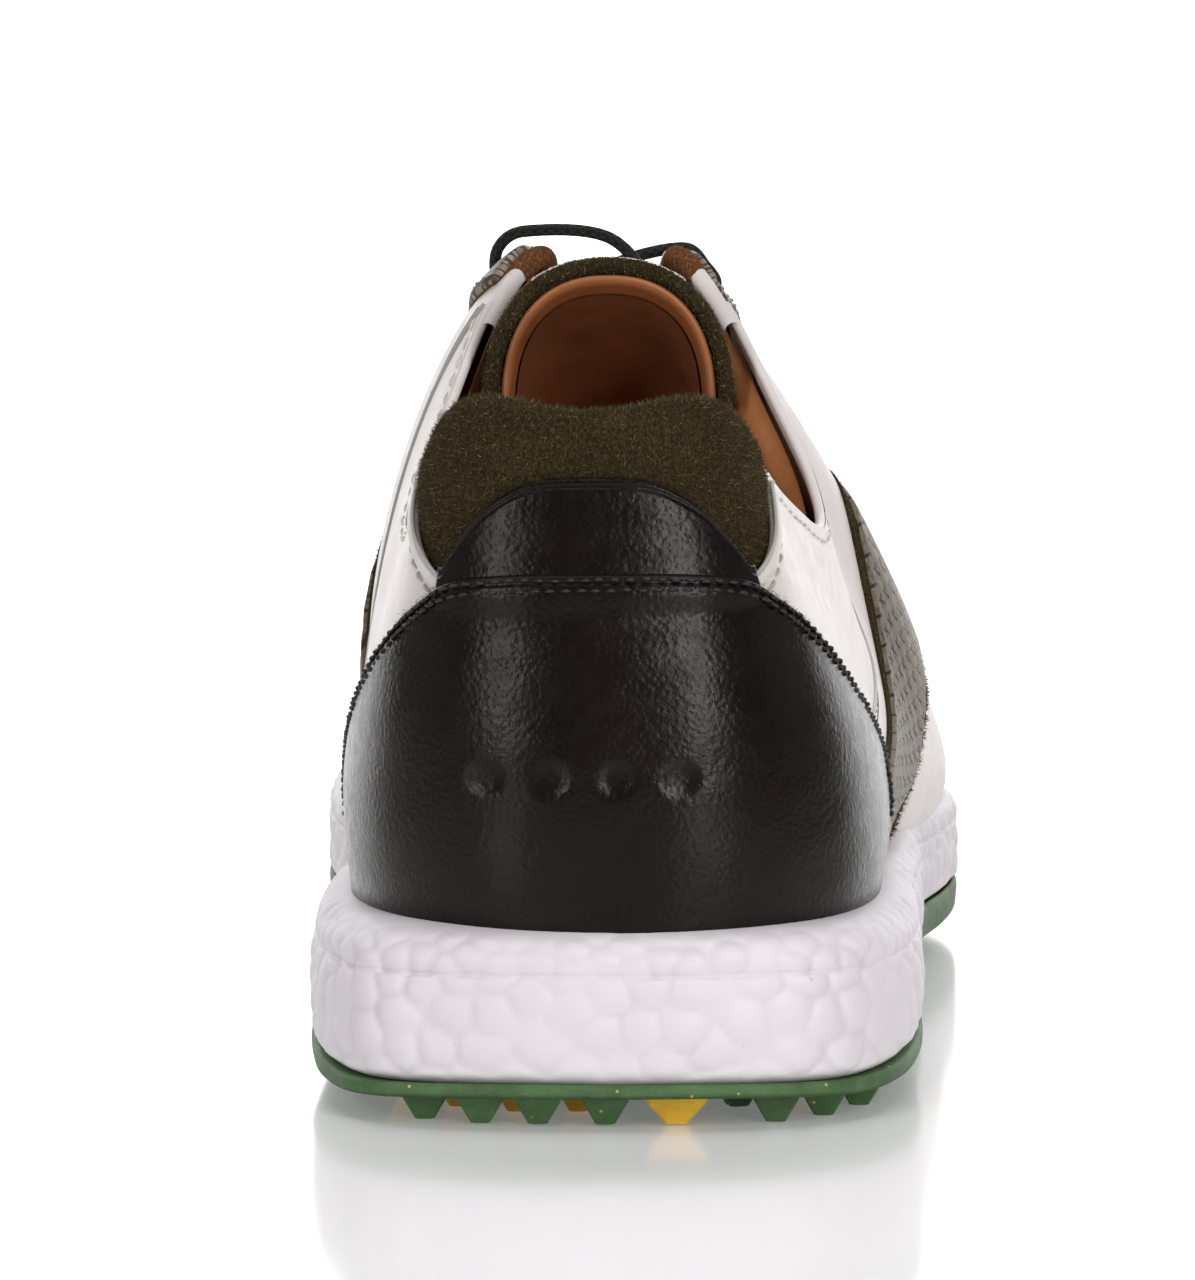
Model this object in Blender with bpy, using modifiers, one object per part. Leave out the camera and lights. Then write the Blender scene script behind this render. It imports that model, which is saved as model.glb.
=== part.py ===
"""Golf shoe, right foot, men's EU 43.

Frame: metres, +Z up, +Y towards the toe, +X towards the little toe. The origin is at the
bottom centre of the shoe's box, on the ground. Run in Blender 4.5.

The upper is modelled on a last: a surface with a station q round the shoe (0 at the heel's
centre back, 1 to 19 along the outer side, 20 at the toe, 21 to 39 back along the inner side)
and a height v from 0 at the feather line, where upper meets sole, to 1 at the top line, the
throat's edge or the ridge of the vamp. Every panel is a patch of that surface, thickened.
Last dimensions are in millimetres.
"""

import math

import bmesh
import bpy
import numpy as np
from mathutils import Matrix, Vector

# ---------------------------------------------------------------- driving dimensions, mm
MM = 0.001
HEEL_TO_ORIGIN = 151.55  # heel's rearmost point to the frame's origin, along Y
AXIS_TO_ORIGIN = 4.87  # last's centre line to the frame's origin, along X
GAP = 0.4  # between touching pieces
LEATHER = 1.4
LINING = (-3.8, -2.8)
PLATE_BOTTOM = 4.0  # lug height: underside of the outsole plate above the ground
PLATE_THICK = 2.6
TOE_SPRING = 10.0
SPRING_START = 205.0
SPRING_LENGTH = 100.0
LACE_RADIUS = 1.2
HOLE_ROWS = (9.45, 10.3, 11.15, 12.0, 12.85)
HOLE_INSET = 9.0  # a lace hole's centre from the throat's edge
HOLE_RADIUS = 2.1
PIPING_RADIUS = 0.7
TONGUE_PIVOT = (190.0, 65.0)  # y, z
STATIONS = 40
TOE = 20
THROAT_END = 14

# Last, one row a station from heel to toe.
# feather line: outer x, inner x, y, z | top line: centre x, half gap, y, z
# handles: out on the outer side, out on the inner side, forward, up; at the feather line, then
# at the top line
LAST = (
    ((0, 0, 6.5, 30), (-4, 0, 13.5, 102.3), (0, 0, -7.5, 24), (0, 0, -2, -22)),
    ((18.5, -18.5, 10.5, 30), (-4, 11.5, 15.5, 103.8), (2, 2, -7, 24), (2.5, 2.5, -1.5, -22)),
    ((30, -30, 23, 30), (-3.8, 18.8, 24, 102), (3.2, 3.2, -4, 24), (4, 4, -1, -20)),
    ((35.3, -35.3, 42, 30), (-3, 23.6, 38.5, 91.5), (3.2, 3.2, -1, 22), (5, 5, 0, -19)),
    ((36.8, -36.3, 65, 29.5), (-1.4, 27.2, 58.5, 84.2), (3.5, 3.5, 0, 20), (5, 5, 0, -17)),
    ((38.6, -36.6, 88, 29), (0, 30.3, 78, 80.2), (4, 4, 0, 18), (3.5, 5, 0, -17)),
    ((41.6, -35.2, 109, 28.5), (0.1, 29.2, 91, 87), (4.5, 5, 0, 18), (3, 8, 4, -18)),
    ((44.8, -34.8, 126, 28), (-0.2, 24.2, 103, 98.5), (6, 7.5, 0, 19), (0.5, 11.5, 6, -21)),
    ((47.4, -35.6, 139, 27.5), (-1, 17.4, 112, 113), (7, 8.5, -1, 23), (2.5, 16, 7, -19)),
    ((49.8, -36.8, 151, 27.1), (-1, 10.5, 117, 120.5), (8, 9, -2, 28), (6.5, 18.5, 8, -8)),
    ((51.8, -38.6, 162.5, 26.6), (-1, 9.5, 130, 112.5), (7, 6.5, -2, 27), (11, 17.5, 6, -7)),
    ((53.8, -40.8, 174, 26.1), (-1, 9.5, 146, 101.5), (6, 5, -2, 24), (14.5, 18.5, 5, -6)),
    ((55.4, -43.2, 186, 25.7), (-1, 9, 162, 90.5), (5.5, 4.5, -1, 20), (17, 19, 4, -5)),
    ((56.5, -45.3, 198, 25.4), (-1, 6.5, 177, 80.5), (4.5, 4, 0, 18), (20.5, 20.5, 3, -3)),
    ((56.5, -46.6, 211, 25.3), (-1, 0, 187, 74), (4, 3.5, 0, 16), (26, 25, 2, 0)),
    ((54.3, -46.9, 227, 25.5), (-2, 0, 205, 66.5), (4, 3.5, 0, 15), (27, 26, 3, 0)),
    ((49.5, -45.6, 245, 26.1), (-3.2, 0, 225, 59.5), (4, 3.5, 1, 14), (25, 24.5, 4, 0)),
    ((40.5, -41.7, 263, 27), (-4.5, 0, 243, 54), (3.5, 3.5, 2, 13), (21, 21, 7, 0)),
    ((27, -34, 280, 28.2), (-5.8, 0, 257, 50.3), (3, 3, 3, 12), (15, 15, 11, 0)),
    ((10.5, -22.5, 293, 29.2), (-6.8, 0, 266.5, 48), (1.5, 1.5, 3.5, 11), (8, 8, 15, 0)),
    ((-7.5, -7.5, 298, 29.6), (-7.3, 0, 270.5, 47), (0, 0, 4, 11), (0, 0, 17, 0)),
)

# Materials: colour, roughness, metallic
MATERIALS = {
    "white_leather": ((0.80, 0.77, 0.74), 0.45, 0.0),
    "black_leather": ((0.012, 0.009, 0.008), 0.3, 0.0),
    "olive_suede": ((0.065, 0.055, 0.025), 0.95, 0.0),
    "grey_weave_leather": ((0.22, 0.20, 0.17), 0.5, 0.0),
    "tan_leather": ((0.42, 0.17, 0.06), 0.5, 0.0),
    "textile_lining": ((0.35, 0.30, 0.24), 0.9, 0.0),
    "black_cord": ((0.01, 0.01, 0.01), 0.7, 0.0),
    "grey_piping": ((0.35, 0.35, 0.37), 0.5, 0.0),
    "clear_plastic": ((0.05, 0.05, 0.05), 0.2, 0.0),
    "foam": ((0.7, 0.65, 0.5), 0.95, 0.0),
    "stiffener": ((0.5, 0.45, 0.35), 0.7, 0.0),
    "board": ((0.6, 0.5, 0.35), 0.9, 0.0),
    "steel": ((0.5, 0.5, 0.52), 0.35, 1.0),
    "white_bead_foam": ((0.75, 0.73, 0.75), 0.6, 0.0),
    "green_rubber": ((0.05, 0.13, 0.035), 0.6, 0.0),
    "yellow_rubber": ((0.85, 0.48, 0.03), 0.5, 0.0),
}


def clear_scene():
    for old in list(bpy.data.objects):
        bpy.data.objects.remove(old, do_unlink=True)


def new_collection(name):
    made = bpy.data.collections.new(name)
    bpy.context.scene.collection.children.link(made)
    return made


def make_material(name):
    colour, roughness, metallic = MATERIALS[name]
    made = bpy.data.materials.new(name)
    made.use_nodes = True
    shader = made.node_tree.nodes["Principled BSDF"]
    shader.inputs["Base Color"].default_value = (*colour, 1)
    shader.inputs["Roughness"].default_value = roughness
    shader.inputs["Metallic"].default_value = metallic
    return made


# ---------------------------------------------------------------- the last's surface
def last_rows():
    """The four control curves of the last, as STATIONS rows of four points."""
    rows = []
    for station in range(STATIONS):
        k = min(station, STATIONS - station)
        side = 1 if station <= TOE else -1
        feather, top, low, high = LAST[k]
        inner = 0 if side > 0 else 1
        b = np.array([feather[inner], feather[2], feather[3]], float)
        t = np.array([top[0] + side * top[1], top[2], top[3]], float)
        p = b + np.array([side * low[inner], low[2], low[3]])
        h = t + np.array([side * high[inner], high[2], high[3]])
        rows.append((b, p, h, t))
    return np.array(rows)


def closed_tangents(rows):
    """Tangents that make a smooth closed cubic curve through the rows."""
    n = len(rows)
    system = 4 * np.eye(n)
    for i in range(n):
        system[i, (i + 1) % n] += 1
        system[i, i - 1] += 1
    slopes = 3 * (np.roll(rows, -1, axis=0) - np.roll(rows, 1, axis=0))
    return np.linalg.solve(system, slopes.reshape(n, -1)).reshape(rows.shape)


ROWS = last_rows()
TANGENTS = closed_tangents(ROWS)


def blended(q):
    """The four control points at station q, before the ridge is closed."""
    q = q % STATIONS
    i = int(q)
    t = q - i
    j = (i + 1) % STATIONS
    a = 2 * t**3 - 3 * t**2 + 1
    b = t**3 - 2 * t**2 + t
    c = -2 * t**3 + 3 * t**2
    d = t**3 - t**2
    return a * ROWS[i] + b * TANGENTS[i] + c * ROWS[j] + d * TANGENTS[j]


def controls(q):
    """The four control points at station q. Past the throat the two sides meet on the ridge."""
    points = blended(q)
    if THROAT_END <= q % STATIONS <= STATIONS - THROAT_END:
        other = blended(STATIONS - q % STATIONS)
        points[3] = (points[3] + other[3]) / 2
    return points


def raw_point(q, v):
    b, p, h, t = controls(q)
    w = 1 - v
    return w**3 * b + 3 * w * w * v * p + 3 * w * v * v * h + v**3 * t


def normal_at(q, v):
    step = 0.02
    inner = min(v, 0.985)
    across = raw_point(q + step, inner) - raw_point(q - step, inner)
    up = raw_point(q, min(inner + step, 1)) - raw_point(q, max(inner - step, 0))
    normal = np.cross(across, up)
    return normal / np.linalg.norm(normal)


def skin(q, v, lift=0.0):
    """The point of the last's surface at station q and height v, lifted along its normal."""
    out = normal_at(q, v)
    if v > 0.999 and THROAT_END <= q % STATIONS <= STATIONS - THROAT_END:
        out = out + normal_at(STATIONS - q % STATIONS, v)
        out /= np.linalg.norm(out)
    return raw_point(q, v) + lift * out


def height_at(q, z):
    """The v at which station q's profile reaches height z."""
    vs = np.linspace(0, 1, 41)
    heights = [raw_point(q, v)[2] for v in vs]
    return float(np.interp(z, heights, vs))


def edge_inset(q, distance):
    """The v that lies a distance below the top edge, measured along the profile."""
    vs = np.linspace(1, 0, 101)
    points = np.array([raw_point(q, v) for v in vs])
    along = np.concatenate([[0], np.cumsum(np.linalg.norm(np.diff(points, axis=0), axis=1))])
    return float(np.interp(distance, along, vs))


def to_frame(point):
    x, y, z = point
    return Vector(((x - AXIS_TO_ORIGIN) * MM, (y - HEEL_TO_ORIGIN) * MM, z * MM))


def lerp_table(table):
    xs = [row[0] for row in table]
    ys = [row[1] for row in table]
    return lambda x: float(np.interp(x, xs, ys))


def smooth_table(table):
    """A smooth curve through the table's points, level between them where they are level."""
    xs = np.array([row[0] for row in table], float)
    ys = np.array([row[1] for row in table], float)

    def value(x):
        x = min(max(x, xs[0]), xs[-1])
        i = min(int(np.searchsorted(xs, x, side="right")) - 1, len(xs) - 2)
        slopes = np.diff(ys) / np.diff(xs)
        tangents = np.concatenate([[slopes[0]], (slopes[1:] + slopes[:-1]) / 2, [slopes[-1]]])
        span = xs[i + 1] - xs[i]
        t = (x - xs[i]) / span
        return (
            (2 * t**3 - 3 * t**2 + 1) * ys[i]
            + (t**3 - 2 * t**2 + t) * span * tangents[i]
            + (-2 * t**3 + 3 * t**2) * ys[i + 1]
            + (t**3 - t**2) * span * tangents[i + 1]
        )

    return value


# ---------------------------------------------------------------- building objects
class Builder:
    """Makes the shoe's objects in one collection, each with its material."""

    def __init__(self):
        self.parts = new_collection("golf_shoe")
        self.cutters = new_collection("cutters")
        self.materials = {name: make_material(name) for name in MATERIALS}
        self.root = bpy.data.objects.new("shoe_frame", None)
        self.parts.objects.link(self.root)

    def add(self, name, mesh, material):
        made = bpy.data.objects.new(name, mesh)
        self.parts.objects.link(made)
        made.parent = self.root
        mesh.materials.clear()
        mesh.materials.append(self.materials[material])
        return made

    def add_cutter(self, name, mesh):
        made = bpy.data.objects.new(name, mesh)
        self.cutters.objects.link(made)
        made.hide_render = True
        made.display_type = "WIRE"
        return made

    def grid_mesh(self, name, points, weld=False):
        """An open sheet through rows of points."""
        bm = bmesh.new()
        verts = [[bm.verts.new(to_frame(p)) for p in row] for row in points]
        for lower, upper in zip(verts, verts[1:]):
            for a, b, c, d in zip(lower, lower[1:], upper[1:], upper):
                bm.faces.new((a, b, c, d))
        if weld:
            bmesh.ops.remove_doubles(bm, verts=bm.verts, dist=0.00002)
        bmesh.ops.recalc_face_normals(bm, faces=bm.faces)
        mesh = bpy.data.meshes.new(name)
        bm.to_mesh(mesh)
        bm.free()
        return mesh

    def sheet(self, name, points, thickness, material, weld=False):
        """A sheet of points thickened equally to both sides."""
        made = self.add(name, self.grid_mesh(name, points, weld), material)
        made.data.shade_smooth()
        solid = made.modifiers.new("thickness", "SOLIDIFY")
        solid.thickness = thickness * MM
        solid.offset = 0
        return made

    def panel(self, name, stations, heights, layer, material, shift=None):
        """A patch of the last: heights(q) lists the v of its rows, shift(q) moves its layer."""
        low, high = layer
        points = []
        for q in stations:
            lift = (low + high) / 2 + (shift(abs(q)) if shift else 0)
            points.append([skin(q, v, lift) for v in heights(q)])
        return self.sheet(name, points, high - low, material)

    def slanted_panel(self, name, across, along, place, layer, material):
        """A patch of the last whose sides are slanted: place(a, b) gives its station and v."""
        low, high = layer
        lift = (low + high) / 2
        points = []
        for a in np.linspace(0, 1, across + 1):
            points.append([skin(*place(a, b), lift) for b in np.linspace(0, 1, along + 1)])
        return self.sheet(name, points, high - low, material)

    def subtract(self, target, cutter):
        cut = target.modifiers.new("cut", "BOOLEAN")
        cut.operation = "DIFFERENCE"
        cut.object = cutter

    def unite(self, target, other):
        joined = target.modifiers.new("join", "BOOLEAN")
        joined.operation = "UNION"
        joined.object = other


def stations_between(low, high, step=0.5):
    """The two ends and every whole step between, so that stacked panels share their creases."""
    first = math.floor(low / step + 1.01)
    last = math.ceil(high / step - 1.01)
    return [low] + [step * i for i in range(first, last + 1)] + [high]


# ---------------------------------------------------------------- the upper
COUNTER_FRONT = 4.7
COUNTER_TOP = smooth_table(
    ((0, 79.3), (0.8, 79), (1.3, 77.8), (1.8, 73.6), (2.3, 67.8), (3.2, 57.5), (4.2, 47), (4.7, 37))
)
TAB_TOP = smooth_table(
    ((0, 92.8), (0.45, 92.5), (0.65, 91.8), (0.87, 90), (1.07, 87.5), (1.28, 83), (1.42, 79.6))
)
TAB_SIDE = 1.42
COLLAR_LOW = smooth_table(
    ((0, 74), (1.3, 75.5), (1.6, 77.5), (1.95, 80.3), (2.3, 83.6), (2.6, 86.6), (2.8, 88.8))
)
COLLAR_FRONT = 2.85
REAR_QUARTER_FRONT = smooth_table(
    ((0, 3.95), (0.35, 4.3), (0.43, 4.9), (0.49, 6.0), (0.55, 6.9), (0.65, 7.4), (0.8, 7.75), (1, 7.95))
)
SADDLE_REAR = smooth_table(
    ((0, 4.8), (0.12, 5.05), (0.22, 5.5), (0.3, 6.5), (0.37, 7.7), (0.44, 8.35), (0.54, 9.5),
     (0.7, 10.1), (1, 10.8))
)
SADDLE_FRONT = smooth_table(
    ((0, 6.1), (0.08, 6.7), (0.15, 8.3), (0.22, 9.6), (0.3, 10.3), (0.44, 10.9), (0.7, 11.6), (1, 12.3))
)
INNER_SADDLE_SHIFT = smooth_table(((0, 0), (0.15, 0.4), (0.3, 1.9), (0.37, 1.4), (0.54, 0.3), (1, 0)))
EYESTAY_REAR = 8.35
EYESTAY_FRONT = 13.6
EYESTAY_INSET = smooth_table(((8.35, 3), (8.8, 13), (9.6, 19), (12, 18.5), (13, 14), (13.6, 6)))
TOE_RAND = smooth_table(((16, 0.1), (17, 0.24), (18, 0.34), (20, 0.375)))


def saddle_rear(v, sign):
    """The stripe's rear edge. It sits a little further forward on the inner side."""
    return SADDLE_REAR(v) + (INNER_SADDLE_SHIFT(v) if sign < 0 else 0)


def saddle_front(v, sign):
    return SADDLE_FRONT(v) + (0.5 * INNER_SADDLE_SHIFT(v) if sign < 0 else 0)


def saddle_middle(v, sign):
    return (saddle_rear(v, sign) + saddle_front(v, sign)) / 2


def heel_counter(shoe):
    def heights(q):
        top = height_at(q, COUNTER_TOP(abs(q)))
        return np.linspace(0, top, 7)

    stations = stations_between(-COUNTER_FRONT, COUNTER_FRONT)
    shoe.panel("heel_counter", stations, heights, (2.5, 3.9), "black_leather")


def back_tab(shoe):
    def heights(q):
        base = height_at(q, COUNTER_TOP(abs(q)) + 0.7)
        top = height_at(q, TAB_TOP(abs(q)))
        return np.linspace(base, top, 4)

    stations = stations_between(-TAB_SIDE, TAB_SIDE)
    shoe.panel("back_tab", stations, heights, (3.5, 4.6), "black_leather")


def collar(shoe):
    def heights(q):
        return np.linspace(height_at(q, COLLAR_LOW(abs(q))), 1, 5)

    stations = stations_between(-COLLAR_FRONT, COLLAR_FRONT)
    shoe.panel("collar_suede", stations, heights, (0.4, 1.8), "olive_suede")
    shoe.panel("collar_foam", stations, heights, (-2.4, 0.0), "foam")
    edge = [skin(q, height_at(q, COLLAR_LOW(abs(q)) - 0.4), 2.6) for q in stations]
    edge = [p for p, q in zip(edge, stations) if abs(q) > 2.3]
    half = len(edge) // 2
    for side, line in (("lateral", edge[half:]), ("medial", edge[:half])):
        tube(shoe, f"collar_piping_{side}", through(line, 5), PIPING_RADIUS, "white_leather")


def stiffener(shoe):
    def heights(q):
        return np.linspace(0.02, height_at(q, min(COUNTER_TOP(abs(q)), 71)), 6)

    stations = stations_between(-3.4, 3.4)
    shoe.panel("counter_stiffener", stations, heights, (-2.2, -0.7), "stiffener")


def quarters(shoe, side, sign):
    """The rear and front quarter of one side. sign is 1 on the outer side, -1 on the inner."""

    def rear(a, b):
        q = max(a * REAR_QUARTER_FRONT(b), 0.04)
        top = 1.0
        if q < COLLAR_FRONT + 0.1:
            top = height_at(q, COLLAR_LOW(q) - 1.5)
        return sign * q, b * top

    def front(a, b):
        low = REAR_QUARTER_FRONT(b) - 0.3
        return sign * (low + a * (saddle_middle(b, sign) - low)), b

    shoe.slanted_panel(f"quarter_rear_{side}", 18, 11, rear, (0.4, 1.8), "white_leather")
    shoe.slanted_panel(f"quarter_front_{side}", 10, 12, front, (-1.45, -0.1), "white_leather")


def saddle(shoe, side, sign):
    """The woven stripe of one side and the suede that backs it, up to the eyestay's edge."""

    def place(margin):
        def at(a, v):
            low = saddle_rear(v, sign) - margin
            high = saddle_front(v, sign) + margin
            return low + a * (high - low)

        def inner(a, b):
            top = 0.8
            for _ in range(3):
                q = at(a, top)
                top = edge_inset(sign * q, EYESTAY_INSET(q) + 1.5)
            v = 0.01 + b * (top - 0.01)
            return sign * at(a, v), v

        return inner

    backing = (0.6, 1.5)
    stripe = (2.0, 2.9)
    shoe.slanted_panel(f"saddle_backing_{side}", 7, 11, place(0.14), backing, "olive_suede")
    shoe.slanted_panel(f"saddle_stripe_{side}", 7, 11, place(0.0), stripe, "grey_weave_leather")


STATION_LENGTH = 14.0  # about one station along the side
PROFILE_LENGTH = 62.0  # about the whole of v from 0 to 1 up the side


def side_piping(shoe, side, sign):
    """The cord along the rear quarter's front edge."""
    line = []
    for v in np.linspace(0.36, 0.97, 15):
        slope = (REAR_QUARTER_FRONT(v + 0.01) - REAR_QUARTER_FRONT(v - 0.01)) / 0.02
        lean = np.array([PROFILE_LENGTH, -slope * STATION_LENGTH])
        lean *= 1.7 / np.linalg.norm(lean)
        q = REAR_QUARTER_FRONT(v) + lean[0] / STATION_LENGTH
        line.append(skin(sign * q, v + lean[1] / PROFILE_LENGTH, 0.5 + PIPING_RADIUS))
    tube(shoe, f"piping_{side}", through(line, 7), PIPING_RADIUS, "grey_piping")


def drills(shoe, side, sign):
    """The punch that makes the eyelet holes of one side, straight through the upper."""
    bm = bmesh.new()
    for row in HOLE_ROWS:
        v = edge_inset(sign * row, HOLE_INSET)
        centre = skin(sign * row, v, 0)
        out = Vector(skin(sign * row, v, 1) - centre)
        bmesh.ops.create_cone(
            bm,
            cap_ends=True,
            segments=10,
            radius1=HOLE_RADIUS * MM,
            radius2=HOLE_RADIUS * MM,
            depth=16 * MM,
            matrix=Matrix.LocRotScale(to_frame(centre), out.to_track_quat("Z", "Y"), None),
        )
    mesh = bpy.data.meshes.new("drills")
    bm.to_mesh(mesh)
    bm.free()
    return shoe.add_cutter(f"drills_{side}", mesh)


def eyestay(shoe, side, sign):
    def heights(rim):
        def inner(q):
            q = abs(q)
            low = edge_inset(sign * q, EYESTAY_INSET(q) - rim)
            return np.linspace(low, edge_inset(sign * q, 0.2 + rim), 5)

        return inner

    stations = [sign * q for q in stations_between(EYESTAY_REAR, EYESTAY_FRONT)]
    backing = shoe.panel(
        f"eyestay_backing_{side}", stations, heights(0.0), (0.65, 1.5), "olive_suede"
    )
    face = shoe.panel(
        f"eyestay_{side}", stations, heights(0.6), (1.9, 2.9), "grey_weave_leather"
    )
    return [backing, face]


FRONT_GRID = (13, 14, 15, 16, 17, 17.75, 18.5, 19.25)


def ridge_rows(first, heights):
    """Rows of (station, height) from station first(v) to just short of the toe."""
    start = max(first(v) for v in heights(FRONT_GRID[0]))
    inner = [q for q in FRONT_GRID if q > start + 0.3]
    count = max(1, round((inner[0] - min(first(v) for v in heights(start))) / 1.1))
    rows = []
    for share in np.arange(count) / count:
        row = heights(first(0.5) + share * (inner[0] - first(0.5)))
        rows.append([(first(v) + share * (inner[0] - first(v)), v) for v in row])
    return rows + [[(q, v) for v in heights(q)] for q in inner]


def ridge_sheet(shoe, name, first, heights, layer, material, inner_first=None):
    """A patch round the toe from station first(v), welded on the ridge.

    It ends at the mirror of that line, or of inner_first(v). heights(q) lists the v of its rows.
    """
    low, high = layer
    lift = (low + high) / 2
    rows = ridge_rows(first, heights) + [[(TOE, v) for v in heights(TOE)]]
    rows += [[(STATIONS - q, v) for q, v in row]
             for row in ridge_rows(inner_first or first, heights)[::-1]]
    points = [[skin(q, v, lift) for q, v in row] for row in rows]
    return shoe.sheet(name, points, high - low, material, weld=True)


def front_of_upper(shoe):
    def seam(sign):
        return lambda v: saddle_middle(v, sign) + 0.16

    def full(q):
        return np.linspace(0, 1, 13)

    def low_rows(q):
        return np.linspace(0, TOE_RAND(q), 4)

    def puff_rows(q):
        return full(q)[:8]

    vamp = ridge_sheet(shoe, "vamp", seam(1), full, (-1.4, 0), "white_leather", seam(-1))
    ridge_sheet(shoe, "toe_rand", lambda v: 16, low_rows, (0.7, 1.8), "white_leather")
    lining = ridge_sheet(shoe, "vamp_lining", lambda v: 12.2, full, (-3.4, -2.8), "textile_lining")
    ridge_sheet(shoe, "toe_puff", lambda v: 17, puff_rows, (-2.4, -1.8), "stiffener")
    return vamp, lining


def quarter_lining(shoe):
    """Tan leather that lines the shoe from one side of the throat round to the other."""

    def heights(q):
        rows = np.linspace(0, 1, 9)
        if abs(q) > 8.1:
            rows[-1] = edge_inset(q, 3.2)
        return rows

    shift = lerp_table(((4.4, 0), (5.6, 0.6), (7.8, 0.6), (8.8, -0.3)))
    stations = stations_between(-12.0, 12.0, 0.75)
    return shoe.panel("quarter_lining", stations, heights, LINING, "tan_leather", shift)


# ---------------------------------------------------------------- the tongue
TONGUE_LINE = smooth_table(
    ((100, 121), (107, 117.8), (116, 112.2), (130, 102.2), (145, 91), (160, 79.4), (175, 69.3), (192, 64))
)
TONGUE_HALF_WIDTH = smooth_table(((100, 19.8), (107, 18.9), (116, 18.3), (160, 19), (192, 17)))
TONGUE_DROP = smooth_table(((100, 25), (116, 21), (140, 14), (165, 9), (192, 5.5)))
TONGUE_TOP = 100.0
TONGUE_BASE = 192.0
TONGUE_CENTRE = -1.0
TONGUE_WRAP = math.radians(88)


def tongue_face(y, share):
    """A point of the tongue's face at y, share -1 to 1 round its arch."""
    angle = share * TONGUE_WRAP
    fall = TONGUE_DROP(y) * (1 - math.cos(angle))
    x = TONGUE_CENTRE + TONGUE_HALF_WIDTH(y) * math.sin(angle)
    return np.array([x, y + 0.12 * fall, TONGUE_LINE(y) - fall])


def tongue_point(y, share, depth):
    """A point of the tongue that far under its face."""
    step = 0.01
    round_arch = tongue_face(y, share + step) - tongue_face(y, share - step)
    forward = tongue_face(y + step, share) - tongue_face(y - step, share)
    out = np.cross(round_arch, forward)
    return tongue_face(y, share) - depth * out / np.linalg.norm(out)


def tongue_sheet(shoe, name, span, shares, layer, material):
    """One layer of the tongue. shares counts sixths of the arch to each side."""
    low, high = layer
    grid = [span[0]] + [y for y in range(106, 190, 12) if span[0] + 2 < y < span[1] - 2] + [span[1]]
    points = []
    for y in grid:
        row = [tongue_point(y, k / 6, (low + high) / 2) for k in range(-shares, shares + 1)]
        points.append(row)
    return shoe.sheet(name, points, high - low, material)


def tongue(shoe):
    span = (TONGUE_TOP, TONGUE_BASE)
    tongue_sheet(shoe, "tongue_suede", span, 6, (0.0, 1.2), "olive_suede")
    tongue_sheet(shoe, "tongue_foam", (102, 186), 5, (1.8, 3.2), "foam")
    tongue_sheet(shoe, "tongue_lining", span, 6, (4.0, 5.0), "tan_leather")
    tongue_sheet(shoe, "tongue_patch", (103, 178), 2, (-1.4, -0.5), "white_leather")


# ---------------------------------------------------------------- the lace
def lace_route():
    """Points down the middle of the lace, from one tucked end to the other."""
    over, under = 5.2, -6.0
    high_cross, low_cross = 3.2, 0.2

    def at(sign, row, inset, lift):
        q = sign * row
        return skin(q, edge_inset(q, inset), lift)

    def crossing(sign, low_row, high_row, lift):
        """From one eyelet over to beneath the next on the other side."""
        middle_row = (low_row + high_row) / 2
        left = at(1, middle_row, 0, 0)
        right = at(-1, middle_row, 0, 0)
        middle = (left + right) / 2 + np.array([0, 0.5 * lift, 0.85 * lift])
        third = low_row + (high_row - low_row) * 0.25
        return [
            at(sign, low_row, HOLE_INSET, over - 1.2),
            at(sign, low_row + (high_row - low_row) * 0.08, 6.2, over),
            at(sign, third, 1.5, over - 0.4),
            middle,
            at(-sign, high_row - (high_row - low_row) * 0.2, -0.0, under + 0.1),
            at(-sign, high_row, 5.0, under - 0.1),
            at(-sign, high_row, HOLE_INSET, under + 0.3),
            at(-sign, high_row, HOLE_INSET, 0),
        ]

    rows = HOLE_ROWS[::-1]

    def half(sign, lifts):
        points = [at(sign, rows[0], HOLE_INSET, 0)]
        side = sign
        for i in range(len(rows) - 1):
            points += crossing(side, rows[i], rows[i + 1], lifts[i])
            side = -side
        return points, side

    tail_rows = (9.45, 9.05)
    lifts = [high_cross if i % 2 == 0 else low_cross for i in range(4)]
    others = [low_cross if i % 2 == 0 else high_cross for i in range(4)]
    first, first_side = half(1, lifts)
    second, second_side = half(-1, others)

    def tail(side, lift, top):
        """The free end: over the top of the throat and tucked in on the other side."""
        middle = (at(1, top, 0, 0) + at(-1, top, 0, 0)) / 2
        middle = middle + np.array([0, 0.5 * lift, 0.85 * lift])
        return [
            at(side, rows[-1], HOLE_INSET, over - 1.2),
            at(side, top + 0.05, 6.0, over),
            at(side, top, 1.5, over - 0.4),
            middle,
            at(-side, top + 0.15, 0.0, under + 0.1),
            at(-side, top + 0.45, 6.0, under - 0.3),
            at(-side, top + 0.9, 13.5, under - 0.2),
            at(-side, top + 1.6, 15.0, under - 0.2),
            at(-side, top + 2.4, 15.0, under - 0.2),
        ]

    bar = [
        at(1, rows[0], HOLE_INSET, under + 0.3),
        at(1, rows[0], 4.0, under - 0.3),
        (at(1, rows[0], 0, under - 1.2) + at(-1, rows[0], 0, under - 1.2)) / 2,
        at(-1, rows[0], 4.0, under - 0.3),
        at(-1, rows[0], HOLE_INSET, under + 0.3),
    ]
    first += tail(first_side, low_cross, tail_rows[0])
    second += tail(second_side, high_cross, tail_rows[1])
    return first[::-1] + bar + second


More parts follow.
